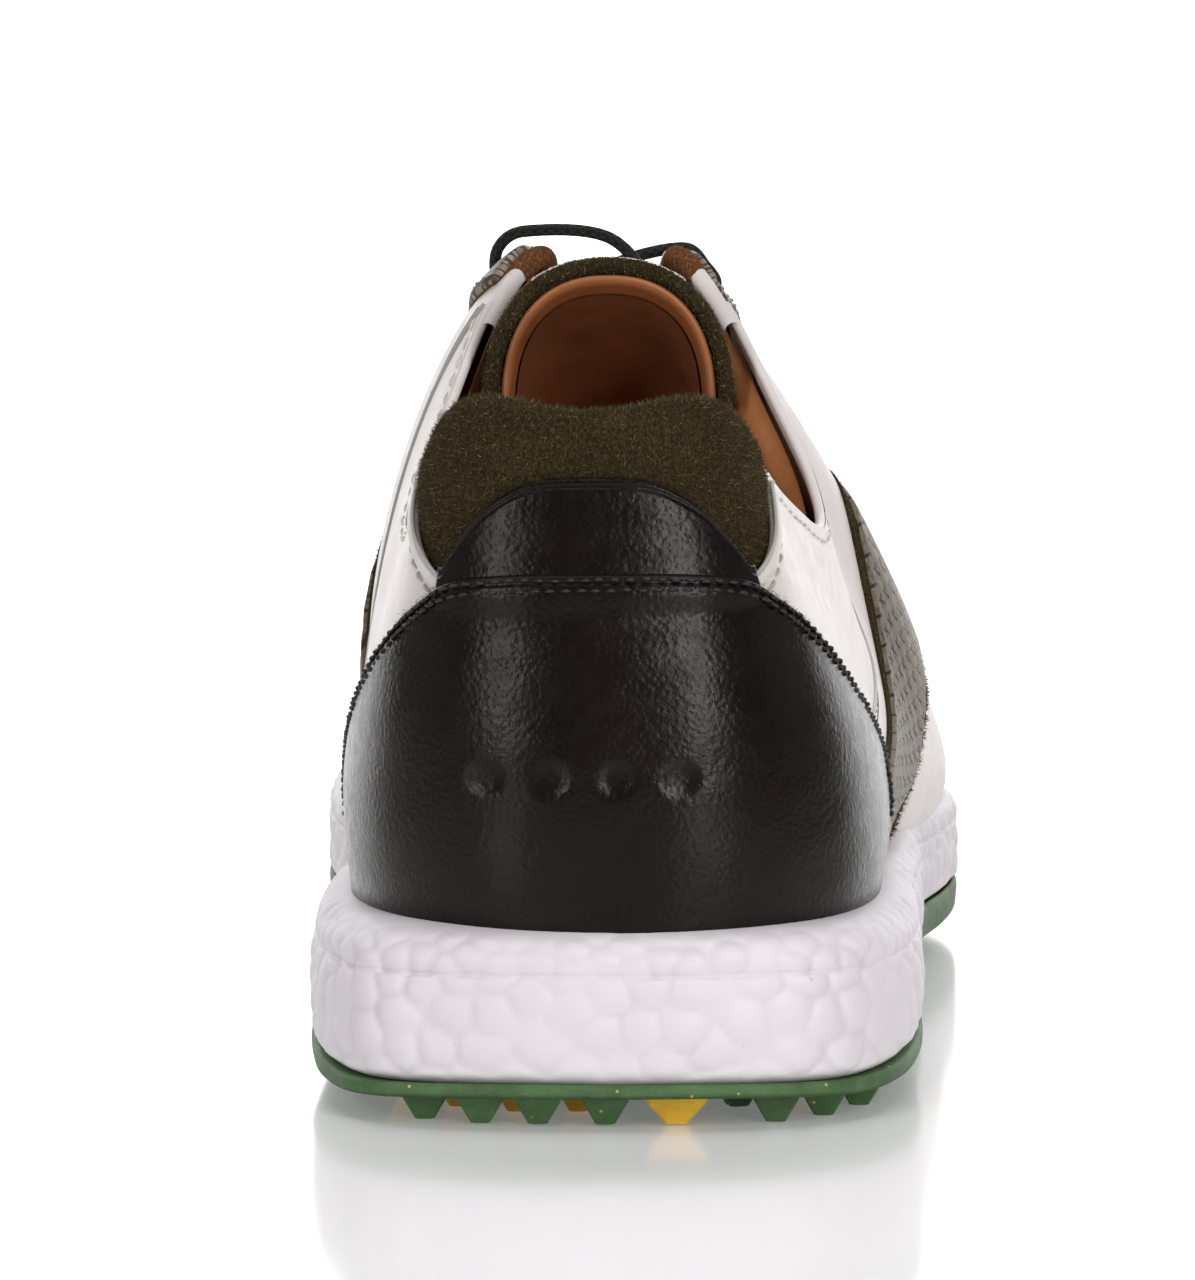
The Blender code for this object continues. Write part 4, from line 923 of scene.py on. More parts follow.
def lug_form(base, tip):
    """Rings of one lug with softened corners, from its root in the plate to the ground."""
    rings = []
    for size, z, cut in (
        (base + 0.9, PLATE_BOTTOM + 0.3, 0.7), (base + 0.1, PLATE_BOTTOM - 0.25, 0.55),
        (base - 0.35, PLATE_BOTTOM - 0.75, 0.45), (tip + 0.3, 0.45, 0.35),
        (tip - 0.05, 0.1, 0.35), (tip - 0.6, 0.0, 0.35),
    ):
        half = size / 2
        corner = [(half, half - cut), (half - cut, half)]
        ring = []
        for quarter in range(4):
            turn = quarter * math.pi / 2
            for x, y in corner:
                ring.append((x * math.cos(turn) - y * math.sin(turn),
                             x * math.sin(turn) + y * math.cos(turn), z))
        rings.append(ring)
    return np.array(rings)


def add_lugs(name, places, material, nodes):
    all_verts, all_faces, first = [], [], 0
    for x, y, base, tip, turn in places:
        form = lug_form(base, tip).reshape(-1, 3)
        c, s = math.cos(turn), math.sin(turn)
        flat = np.stack([x + c * form[:, 0] - s * form[:, 1],
                         y + s * form[:, 0] + c * form[:, 1],
                         form[:, 2] + float(spring(y))], axis=-1)
        all_verts.append(flat)
        for ring in range(5):
            for j in range(8):
                k = (j + 1) % 8
                a = first + ring * 8
                all_faces.append((a + j, a + 8 + j, a + 8 + k, a + k))
        all_faces.append(tuple(first + 40 + j for j in reversed(range(8))))
        first += len(flat)
    add_piece(name, np.concatenate(all_verts), all_faces, material, nodes, smooth=False)


midsole()
outsole_plate()
add_lugs("outsole_lugs", lug_places(), green_rubber, ("outsole",))
for number, (x, y) in enumerate(YELLOW_LUGS, 1):
    wide = (8.6, 3.4) if number == 1 else (6.4, 2.8)
    add_lugs(f"insert_lug_{number:02d}", [(x, y, *wide, 0.0)], yellow_rubber,
             (f"yellow_lug_{number:02d}",))


# ---------------------------------------------------------------- the upper
COUNTER_TOP = smooth_table(
    ((0, 79.3), (0.8, 79), (1.3, 77.8), (1.8, 73.6), (2.3, 67.8), (3.2, 57.5), (4.2, 47), (4.7, 37))
)
TAB_TOP = smooth_table(
    ((0, 92.8), (0.45, 92.5), (0.65, 91.8), (0.87, 90), (1.07, 87.5), (1.28, 83), (1.42, 79.6))
)
TAB_END = 1.42  # the last station of TAB_TOP
COLLAR_LOW = smooth_table(
    ((0, 74), (1.3, 75.5), (1.6, 77.5), (1.95, 80.3), (2.3, 83.6), (2.6, 86.6), (2.8, 88.8))
)
REAR_QUARTER_FRONT = smooth_table(
    ((0, 3.95), (0.35, 4.3), (0.43, 4.9), (0.49, 6.0), (0.55, 6.9), (0.65, 7.4), (0.8, 7.75), (1, 7.95))
)
SADDLE_REAR = smooth_table(
    ((0, 4.8), (0.12, 5.05), (0.22, 5.5), (0.3, 6.4), (0.4, 7.9), (0.52, 9.4), (0.7, 10.3), (1, 10.9))
)
SADDLE_FRONT = smooth_table(
    ((0, 6.1), (0.08, 6.7), (0.15, 8.3), (0.22, 9.6), (0.3, 10.3), (0.44, 10.9), (0.7, 11.6), (1, 12.3))
)
INNER_SADDLE_SHIFT = smooth_table(((0, 0), (0.15, 0.5), (0.3, 1.5), (0.4, 1.3), (0.6, 0.4), (1, 0)))
STATION_LENGTH, PROFILE_LENGTH = 14.0, 62.0  # about one station, and all of v, on the side
EYESTAY_INSET = smooth_table(((8.35, 3), (8.8, 13), (9.6, 19), (12, 18.5), (13, 14), (13.6, 6)))
TOE_RAND = smooth_table(((16, 0.1), (17, 0.24), (18, 0.34), (20, 0.375)))
TOE_RAND_START = 16.0
HOLE_ROWS = (9.45, 10.3, 11.15, 12.0, 12.85)
HOLE_INSET = 9.0
HOLE_RADIUS = 2.1
LACE_RADIUS = 1.2
DIMPLES, DIMPLE_PITCH, DIMPLE_RADIUS, DIMPLE_DEPTH = 4, 8.6, 2.2, 0.5
DIMPLE_ROW = (-4.4, 50.5)  # x of the row's middle, and its height
FOOT = -0.035  # how far below the feather line the panels run into the midsole
STRIPE_BEND = (0.42, 0.62)  # the heights between which the stripe's rear edge moves forward
LIFTS = {  # how far each panel's under side and face lie out from the last, or from the tongue
    "counter": (2.3, 3.8), "tab": (2.7, 3.8), "quarter_rear": (0.4, 1.8), "top_roll": (1.6, 1.66),
    "vamp": (-0.6, 0.05), "toe_rand": (0.2, 1.5), "stripe_suede": (0.9, 1.6),
    "stripe_leather": (1.5, 2.25), "eyestay_suede": (0.3, 1.5), "eyestay_leather": (1.5, 2.8),
    "tongue_patch": (0.2, 1.3),
}
SIDES = (("lateral", 1), ("medial", -1))
OUTWARD = {1: slice(None), -1: slice(None, None, -1)}  # station order that faces a panel out


def saddle_rear(v, sign):
    """The stripe's rear edge. It sits a little further forward on the inner side."""
    return SADDLE_REAR(v) + (INNER_SADDLE_SHIFT(v) if sign < 0 else 0)


def saddle_front(v, sign):
    return SADDLE_FRONT(v) + (0.5 * INNER_SADDLE_SHIFT(v) if sign < 0 else 0)


def saddle_middle(v, sign):
    return (saddle_rear(v, sign) + saddle_front(v, sign)) / 2


def folds(points):
    """Soft horizontal creases of the counter near the tab, and slow dents lower down."""
    x, _, z = np.moveaxis(points, -1, 0)
    dent = 0.14 * np.sin(0.21 * x + 0.13 * z) * np.sin(0.17 * z - 0.08 * x + 1.3)
    dent += 0.04 * np.sin(0.55 * x - 0.4 * z + 2.0) * np.sin(0.31 * z + 0.4)
    high = ramped(z, 58, 76)
    crease = 0.09 * high * np.sin(1.15 * z + 0.9 * np.sin(0.12 * x) + 0.5)
    return dent + crease


def over_tab(q):
    """How far the counter's top edge stands out where it overlaps the tab."""
    return 0.9 * ramped(1.75 - np.abs(q), 0.0, 0.5)


def counter():
    q = np.linspace(-4.7, 4.7, 340)[:, None]
    top = height_at(q, COUNTER_TOP(np.abs(q)))
    v = FOOT + spread(170, 0.5)[None, :] * (top - FOOT)
    grid = np.broadcast_to(q, v.shape)
    points = raw_point(grid, v)
    x, z = points[..., 0], points[..., 2]
    rear = points[..., 1] < 30

    def relief(q, v, across, up):
        lift = folds(points)
        for k in range(DIMPLES):
            middle = DIMPLE_ROW[0] + DIMPLE_PITCH * (k - (DIMPLES - 1) / 2)
            away = np.hypot(x - middle, z - DIMPLE_ROW[1])
            lift = lift - np.where(rear, DIMPLE_DEPTH * np.exp(-((away / DIMPLE_RADIUS) ** 4)), 0)
        edge = up[:, -1:] - up
        lift = lift - 0.28 * np.exp(-(((edge - 1.7) / 0.45) ** 2))
        return lift + over_tab(q) * ramped(z, 72, 76)

    grid_patch("counter_leather", grid, v, LIFTS["counter"], counter_leather, "black_leather",
               ("heel_counter",), edges="lrt", edge=1.0, relief=relief)
    line = np.linspace(-4.62, 4.62, 420)
    edge_v = height_at(line, COUNTER_TOP(np.abs(line)))
    rise = np.linalg.norm(raw_point(line, edge_v) - raw_point(line, edge_v - 0.05), axis=-1) / 0.05
    for row, below in enumerate((1.4, 2.9)):
        stitches(f"counter_stitch_{row + 1}", line, edge_v - below / rise, 3.86 + over_tab(line),
                 black_thread, stitch=1.5, gap=0.7, radius=0.3)
    pick = rng.integers(0, len(line), 2600)
    edge_nap("counter_edge_nap", line, edge_v, 0.25 / rise, 3.3, pick, 0.25, 0.8, 0.55, 0.1,
             black_fibres)


def tab():
    q = np.linspace(-1.5, 1.5, 170)[:, None]
    base = height_at(q, COUNTER_TOP(np.abs(q)) - 3.2)
    top = height_at(q, TAB_TOP(np.minimum(np.abs(q), TAB_END)))
    v = base + spread(64, 0.4)[None, :] * (np.maximum(top, base + 0.01) - base)
    grid = np.broadcast_to(q, v.shape)
    points = raw_point(grid, v)

    def relief(q, v, across, up):
        edge = up[:, -1:] - up
        return 0.6 * folds(points) - 0.25 * np.exp(-(((edge - 1.4) / 0.4) ** 2))

    grid_patch("tab_leather", grid, v, LIFTS["tab"], counter_leather, "black_leather",
               ("back_tab",), edges="lrt", edge=1.1, relief=relief)
    line = np.linspace(-1.44, 1.44, 260)
    edge = height_at(line, TAB_TOP(np.minimum(np.abs(line), TAB_END)))
    pick = rng.integers(0, len(line), 1500)
    edge_nap("tab_edge_nap", line, edge, 0.004, 3.9, pick, 0.2, 0.8, 0.6, 0.1, black_fibres)


def collar():
    """The padded suede collar: one skin up the outside, over its rounded top and down inside."""
    q = np.linspace(-2.95, 2.95, 300)
    brow = edge_inset(q, 1.9)
    low = np.minimum(height_at(q, COLLAR_LOW(np.abs(q))), brow - 0.005)
    up = np.linspace(0, 1, 54)
    v = low[:, None] + up[None, :] * (brow - low)[:, None]
    grid = np.broadcast_to(q[:, None], v.shape)
    ends = ramped(3.02 - np.abs(q), 0.0, 0.5)[:, None]
    puff = np.sin(np.clip(up * 1.25, 0, 1) * math.pi / 2)[None, :] ** 0.7
    soft = 0.25 * np.sin(2.1 * q)[:, None] * np.sin(3.5 * up)[None, :]
    lift = 0.5 + (2.0 + soft) * puff * ends
    outside = raw_point(grid, v) + lift[..., None] * skin_normal(grid, v)
    top, out = raw_point(q, brow), skin_normal(q, brow)
    rise = unit(raw_point(q, brow) - raw_point(q, brow - 0.03))
    face, back = lift[:, -1], -3.3 * ends[:, 0] - 0.6
    centre, radius = (face + back) / 2, (face - back) / 2
    rows = []
    for angle in np.linspace(0, math.pi, 22)[1:]:
        rows.append(top + (centre + radius * math.cos(angle))[:, None] * out
                    + (0.75 * radius * math.sin(angle))[:, None] * rise)
    for down in np.linspace(0, 9.0, 12)[1:]:
        rows.append(top + (back - 0.5 * math.sin(down / 9 * math.pi))[:, None] * out - down * rise)
    verts = np.concatenate([outside, np.stack(rows, axis=1)], axis=1)
    made = add_piece("collar_pad", verts, grid_faces(*verts.shape[:2]), olive_suede,
                     ("collar_suede", "collar_foam"))
    roots, normal = scatter(verts[:, :86], 42000)
    fuzz("collar_nap", roots, normal, 1.1, 1.05, 0.13, olive_fibres)
    line = np.linspace(-2.92, 2.92, 300)
    edge = height_at(line, COLLAR_LOW(np.abs(line)) - 0.1)
    rim = skin(line, edge, 1.9)
    half = len(line) // 2
    for side, part in (("lateral", slice(half - 1, None)), ("medial", slice(0, half))):
        add_tube(f"collar_rim_{side}", rim[part], 0.95, rim_leather,
                 (f"collar_piping_{side}",), sides=14)
    inner = skin(line, height_at(line, COLLAR_LOW(np.abs(line)) + 1.1), 2.35)
    add_tube("collar_rim_edge", inner, 0.32, grey_thread, sides=8)
    stitches("collar_stitch_1", line, height_at(line, COLLAR_LOW(np.abs(line)) - 2.4), 1.86,
             grey_thread, stitch=2.4, gap=1.0, radius=0.26)


def quarter_rear(side, sign):
    a = np.linspace(0, 1, 240)[:, None]
    b = FOOT + spread(150, 0.3)[None, :] * (1 - FOOT)
    q = np.maximum(a * REAR_QUARTER_FRONT(b), 0.02)
    near = np.abs(q) < 3.1
    level = height_at(np.where(near, q, 1.0), COLLAR_LOW(np.minimum(q, 2.8)) - 0.2)
    joining = ramped(q, 2.7, 3.05)
    ceiling = np.where(near, level * (1 - joining) + joining, 1.0)
    v = np.where(b < 0, b, b * ceiling)

    def relief(q, v, across, up):
        wave = 0.10 * np.sin(0.9 * q + 5 * v) * np.sin(7 * v + 0.3)
        return wave - 0.12 * np.exp(-((up[:, -1:] - up - 2.6) ** 2) / 0.4)

    order = OUTWARD[sign]
    grid_patch(f"quarter_rear_leather_{side}", (sign * q)[order], v[order],
               LIFTS["quarter_rear"], white_leather, "white_leather", (f"quarter_rear_{side}",),
               edges="lr", edge=0.8, relief=relief)
    # the turned top edge from the collar forward
    line = (np.linspace(2.85, REAR_QUARTER_FRONT(1.0), 120) * sign)[order]
    rim_v = edge_inset(line, 2.4)
    rows = rim_v[:, None] + np.linspace(0, 1, 6)[None, :] * (1 - rim_v)[:, None]
    grid_patch(f"quarter_top_roll_{side}", line[:, None], rows,
               LIFTS["top_roll"], white_leather, "white_leather", edges="", edge=0.5,
               over=(0.1, 1.2))
    stitches(f"quarter_top_stitch_{side}", line, edge_inset(line, 2.2), 1.86, white_thread,
             stitch=2.4, gap=1.0, radius=0.2)


def beside_seam(t, away):
    """Stations and heights that lie a distance in front of the rear quarter's front seam."""
    slope = (REAR_QUARTER_FRONT(t + 0.01) - REAR_QUARTER_FRONT(t - 0.01)) / 0.02
    lean = unit(np.stack([np.full(len(t), PROFILE_LENGTH), -slope * STATION_LENGTH], axis=-1))
    q = REAR_QUARTER_FRONT(t) + away * lean[:, 0] / STATION_LENGTH
    return q, np.clip(t + away * lean[:, 1] / PROFILE_LENGTH, 0, 1)


def side_piping(side, sign):
    """The cord in the seam, the stitches of the panel in front of it, and a thin black tube along the
    fold in front of them as painted shade.
    """
    q, v = beside_seam(np.linspace(0.3, 0.985, 200), 0.9)
    add_tube(f"side_cord_{side}", skin(sign * q, v, 1.4), 0.7, grey_cord,
             (f"piping_{side}",), sides=14)
    q, v = beside_seam(np.linspace(0.3, 0.93, 200), 3.6)
    stitches(f"side_stitch_{side}", sign * q, v, 1.28, brown_thread,
             stitch=1.7, gap=0.9, radius=0.24)
    # Painted shade: a thin black tube laid on the panel stands in for the dark line of the fold.
    q, v = beside_seam(np.linspace(0.3, 0.93, 200), 5.6)
    add_tube(f"side_fold_{side}", skin(sign * q, v, 1.12), 0.22, black_thread,
             sides=8)


def quarter_front(side, sign):
    b = FOOT + spread(120, 0.3)[None, :] * (1 - FOOT)
    c = np.clip(b, 0, 1)
    low = REAR_QUARTER_FRONT(c) - 0.25
    high = saddle_middle(c, sign)
    a = np.linspace(0, 1, 70)[:, None]
    q = sign * (low + a * (high - low))
    v = np.broadcast_to(b, q.shape)
    order = OUTWARD[sign]
    grid_patch(f"quarter_front_leather_{side}", q[order], v[order], LIFTS["vamp"],
               white_leather, "white_leather", (f"quarter_front_{side}",), edges="", over=(-1.7, 2.0),
               relief=lambda *at: 1.15)


def saddle(side, sign):
    """The embossed stripe and its suede backing, from the sole to the eyestay."""

    def grids(margin, rows=150, columns=44):
        b = np.linspace(0, 1, rows)
        tops = np.full(columns, 0.8)
        a = np.linspace(0, 1, columns)
        for _ in range(4):
            low, high = saddle_rear(tops, sign) - margin, saddle_front(tops, sign) + margin
            q = low + a * (high - low)
            tops = edge_inset(sign * q, EYESTAY_INSET(q) + 0.3)
        v = FOOT + b[None, :] * (tops - FOOT)[:, None]
        c = np.clip(v, 0, 1)
        upper = ramped(c, *STRIPE_BEND)
        low = saddle_rear(c, sign) + 0.35 * upper - margin * (1 - 0.6 * upper)
        high = saddle_front(c, sign) - 0.25 + margin
        return sign * (low + a[:, None] * (high - low)), v

    order = OUTWARD[sign]
    q, v = grids(0.28)
    grid_patch(f"stripe_suede_{side}", q[order], v[order], LIFTS["stripe_suede"], olive_suede,
               "olive_suede", (f"saddle_backing_{side}",), edges="lr", edge=0.6)
    q, v = grids(-0.25)
    grid_patch(f"stripe_leather_{side}", q[order], v[order], LIFTS["stripe_leather"],
               stripe_leather, "weave_leather", (f"saddle_stripe_{side}",), edges="lr", edge=0.9,
               relief=lambda q, v, across, up: 0.08 * np.sin(1.1 * up + 0.5 * across))
    v = np.linspace(0.0, 0.93, 400)
    for edge, line, step in (("rear", saddle_rear, -0.13), ("front", saddle_front, 0.1)):
        q = sign * (line(v, sign) + step + (step < 0) * 0.4 * ramped(v, *STRIPE_BEND))
        keep = v < edge_inset(q, EYESTAY_INSET(np.abs(q)))
        pick = rng.choice(np.flatnonzero(keep), 2300)
        roots = skin(q + rng.normal(0, 0.05, len(q)), v, 1.5)[pick]
        out = skin_normal(q, v)[pick]
        fuzz(f"stripe_nap_{edge}_{side}", roots, out, 1.0, 1.0, 0.14, olive_fibres)


def hole_places(sign):
    q = sign * np.array(HOLE_ROWS)
    return q, edge_inset(q, HOLE_INSET)


def punch(made, centres, axes, radius, wall):
    """Open round holes in a panel: cut faces, round the border and add a wall."""
    bm = bmesh.new()
    bm.from_mesh(made.data)

    def around_axis(vert, centre, axis):
        """How far along the hole's axis a vertex is, and its way out from the axis."""
        rel = np.array(vert.co) / MM + ORIGIN - centre
        return rel @ axis, rel - (rel @ axis) * axis

    for centre, axis in zip(centres, axes):
        inner = []
        for vert in bm.verts:
            depth, flat = around_axis(vert, centre, axis)
            if abs(depth) < 4 and np.linalg.norm(flat) < radius:
                inner.append(vert)
        bmesh.ops.delete(bm, geom=inner, context="VERTS")
        rim = set()
        for vert in bm.verts:
            if vert.is_boundary:
                depth, flat = around_axis(vert, centre, axis)
                if abs(depth) < 4 and np.linalg.norm(flat) < radius + 1.2:
                    vert.co = to_frame(centre + depth * axis + radius * unit(flat))
                    rim.add(vert)
        edges = [e for e in bm.edges if e.is_boundary and rim.issuperset(e.verts)]
        for item in bmesh.ops.extrude_edge_only(bm, edges=edges)["geom"]:
            if isinstance(item, bmesh.types.BMVert):
                item.co = item.co - Vector(axis * wall * MM)
    bm.to_mesh(made.data)
    bm.free()


def eyestay(side, sign):
    stations = np.linspace(8.35, 13.6, 190)
    line = sign * stations
    inset = EYESTAY_INSET(stations)
    order = OUTWARD[sign]
    hole_q, hole_v = hole_places(sign)
    centres, axes = raw_point(hole_q, hole_v), skin_normal(hole_q, hole_v)
    for name, rim, material, slot, node in (
        ("eyestay_suede", 0.0, brown_suede, "brown_suede", "eyestay_backing"),
        ("eyestay_leather", 0.6, tile_face, "weave_leather", "eyestay"),
    ):
        low = edge_inset(line, inset - rim)
        high = edge_inset(line, 0.1 + 2.4 * rim)
        v = low[:, None] + spread(66, 0.4)[None, :] * (high - low)[:, None]
        q = np.broadcast_to(sign * stations[:, None], v.shape)
        wrap = {"edges": "lrbt"} if rim else {"edges": "lrb", "over": (-2.1, 2.2)}
        made = grid_patch(f"{name}_{side}", q[order], v[order], LIFTS[name], material, slot,
                          (f"{node}_{side}",), edge=0.9, **wrap)
        punch(made, centres, axes, HOLE_RADIUS - 0.25 + 0.1 * (rim == 0), 1.4)
    low = edge_inset(line, inset - 2.3)
    stitches(f"eyestay_stitch_{side}", line[6:-6], low[6:-6], 2.84, grey_thread,
             stitch=1.9, gap=0.8, radius=0.24)
    pick = rng.integers(0, len(stations), 2400)
    for name, away, lift, spill, length in (("eyestay_nap", 0.3, 1.3, 0.3, 0.6),
                                            ("eyestay_low_nap", inset, 1.1, 0.25, 0.55)):
        edge_nap(f"{name}_{side}", line, edge_inset(line, away), 0, lift, pick, spill, 0.9, length,
                 0.09, brown_fibres)


def front_grid(rows, count):
    """Stations from the outer stripe's middle round the toe to the inner one's."""
    a = np.linspace(0, 1, count)[:, None]
    halves = []
    for sign in (1, -1):
        start = (saddle_middle(np.clip(rows, 0, 1), sign) + 0.12)[None, :]
        halves.append(start + a * (TOE - start))
    q = np.concatenate([halves[0], STATIONS - halves[1][-2::-1]], axis=0)
    return q, np.broadcast_to(rows[None, :], q.shape)


def vamp():
    rows = FOOT + spread(110, 0.2) * (1 - FOOT)
    q, v = front_grid(rows, 170)

    def relief(q, v, across, up):
        flex = np.exp(-(((raw_point(q, v)[..., 1] - 205) / 22) ** 2))
        return 0.25 * flex * np.sin(0.45 * raw_point(q, v)[..., 1]) * ramped(v, 0.35, 0.9)

    grid_patch("vamp_leather", q, v, LIFTS["vamp"], white_leather, "white_leather", ("vamp",),
               edges="", relief=relief)


def toe_rand():
    """The low band round the toe and its stitches."""
    half = np.linspace(TOE_RAND_START, TOE, 110)
    q = np.concatenate([half, STATIONS - half[-2::-1]])[:, None]
    top = TOE_RAND(np.minimum(q, STATIONS - q))
    v = FOOT + spread(50, 0.3)[None, :] * (top - FOOT)
    grid_patch("toe_rand_leather", np.broadcast_to(q, v.shape), v, LIFTS["toe_rand"],
               white_leather, "white_leather", ("toe_rand",), edges="lrt", edge=0.9)
    line = q[3:-3, 0]
    edge = TOE_RAND(np.minimum(line, STATIONS - line))
    stitches("toe_rand_stitch", line, edge - 0.045, 1.55, white_thread,
             stitch=2.0, gap=0.8, radius=0.24)


def lining():
    q = np.linspace(-12.0, 12.0, 420)[:, None]
    top = np.where(np.abs(q) > 8.1, edge_inset(q, 2.2), 1.0)
    v = spread(80, 0.5)[None, :] * top
    grid = np.broadcast_to(q, v.shape)
    points, out = raw_point(grid, v), skin_normal(grid, v)
    _, up = arc_lengths(points)
    below = up[:, -1:] - up
    depth = -1.2 - 2.3 * ramped(below, 0.0, 7.0)
    collar_part = ramped(3.2 - np.abs(q), 0, 0.5)
    depth = depth - collar_part * 2.2 * ramped(14 - below, 0, 8)
    verts = points + depth[..., None] * out
    add_piece("lining_leather_painted_light", verts, grid_faces(*v.shape)[:, ::-1], lining_leather_painted_light,
              ("quarter_lining",))


counter()
tab()
collar()
lining()
for side, sign in SIDES:
    quarter_rear(side, sign)
    side_piping(side, sign)
    quarter_front(side, sign)
    saddle(side, sign)
    eyestay(side, sign)
vamp()
toe_rand()


# ---------------------------------------------------------------- the tongue
TONGUE_LINE = smooth_table(
    ((100, 121), (107, 117.8), (116, 112.2), (130, 102.2), (145, 91), (160, 79.4), (175, 69.3),
     (192, 64))
)
TONGUE_HALF_WIDTH = smooth_table(((100, 19.8), (107, 18.9), (116, 18.3), (160, 19), (192, 17)))
TONGUE_DROP = smooth_table(((100, 25), (116, 21), (140, 14), (165, 9), (192, 5.5)))
TONGUE_START, TONGUE_END = 100, 192  # y of the free edge and of the stitched foot
TONGUE_CENTRE = -1.0
TONGUE_WRAP = math.radians(88)


def tongue_face(y, share):
    """A point of the arch across the tongue, which is a little squarer than an ellipse."""
    angle = share * TONGUE_WRAP
    fall = TONGUE_DROP(y) * (1 - np.abs(np.cos(angle)) ** 0.8)
    x = TONGUE_CENTRE + TONGUE_HALF_WIDTH(y) * np.sign(angle) * np.abs(np.sin(angle)) ** 0.9
    return np.stack([x, y + 0.12 * fall, TONGUE_LINE(y) - fall], axis=-1)


def tongue_frame(y, share):
    """A point of the tongue's face, the way out of it and the way to its free end."""
    y, share = np.broadcast_arrays(np.asarray(y, float), np.asarray(share, float))
    step = 0.01
    round_arch = tongue_face(y, share + step) - tongue_face(y, share - step)
    here, ahead = tongue_face(y, share), tongue_face(np.minimum(y + step, TONGUE_END), share)
    at_edge = (y < TONGUE_START + step)[..., None]
    forward = ahead - np.where(at_edge, here, tongue_face(y - step, share))
    out = unit(np.cross(round_arch, forward))
    return here, out, -unit(forward)


def tongue_layer(name, start, end, nose, material, nodes, inner_run):
    """A skin of the tongue: along its face, round a rounded nose and back along its under side.

    start and end are depths under the face; the nose reaches that far past the free edge, and
    inner_run is how far the under side runs back.
    """
    share = np.linspace(-1, 1, 120)[:, None]
    rows = []
    for y in np.linspace(190, 101.2, 70):
        point, out, _ = tongue_frame(np.full_like(share, y), share)
        rows.append((point - start * out)[:, 0])
    point, out, back = tongue_frame(np.full_like(share, 101.0), share)
    centre, radius = (start + end) / 2, (end - start) / 2
    for angle in np.linspace(0, math.pi, 18):
        depth = centre - radius * math.cos(angle)
        rows.append((point - depth * out + (nose * math.sin(angle)) * back)[:, 0])
    for y in np.linspace(101.5, 101.5 + inner_run, 30):
        point, out, _ = tongue_frame(np.full_like(share, y), share)
        rows.append((point - end * out)[:, 0])
    verts = np.stack(rows, axis=1)
    made = add_piece(name, verts, grid_faces(*verts.shape[:2]), material, nodes, "tongue")
    return made, verts


made, cover = tongue_layer("tongue_cover", 0.0, 2.7, 1.9, olive_suede,
                           ("tongue_suede", "tongue_foam"), 4)
roots, normal = scatter(cover[:, 45:88], 22000)
fuzz("tongue_nap", roots, normal, 1.1, 1.0, 0.13, olive_fibres, body="tongue")
tongue_layer("tongue_roll", 2.9, 4.5, 1.5, tan_leather, ("tongue_lining",), 5)
share = np.linspace(-1, 1, 100)[:, None]
rows = []
for y in np.linspace(104.0, 190, 60):
    point, out, _ = tongue_frame(np.full_like(share, y), share)
    rows.append((point - 4.85 * out)[:, 0])
add_piece("tongue_lining_leather", np.stack(rows, axis=1), grid_faces(100, 60), tongue_inside_painted_shade,
          ("tongue_lining",), "tongue")
share = np.linspace(-0.4, 0.4, 60)[:, None] * np.ones((1, 70))
y = np.linspace(178, 102.2, 70)[None, :] * np.ones((60, 1))
grid_patch("tongue_strip", y, share, LIFTS["tongue_patch"], white_leather, "white_leather",
           ("tongue_patch",), edge=0.8, base=lambda y, share: tongue_frame(y, share)[:2],
           body="tongue")
for name, at in (("left", -0.36), ("right", 0.36)):
    y = np.linspace(176, 104, 120)
    stitches(f"tongue_stitch_{name}", y, np.full(120, at), 1.32, grey_thread,
             base=lambda y, share: tongue_frame(y, share)[:2], body="tongue", stitch=1.9,
             gap=0.8, radius=0.22)


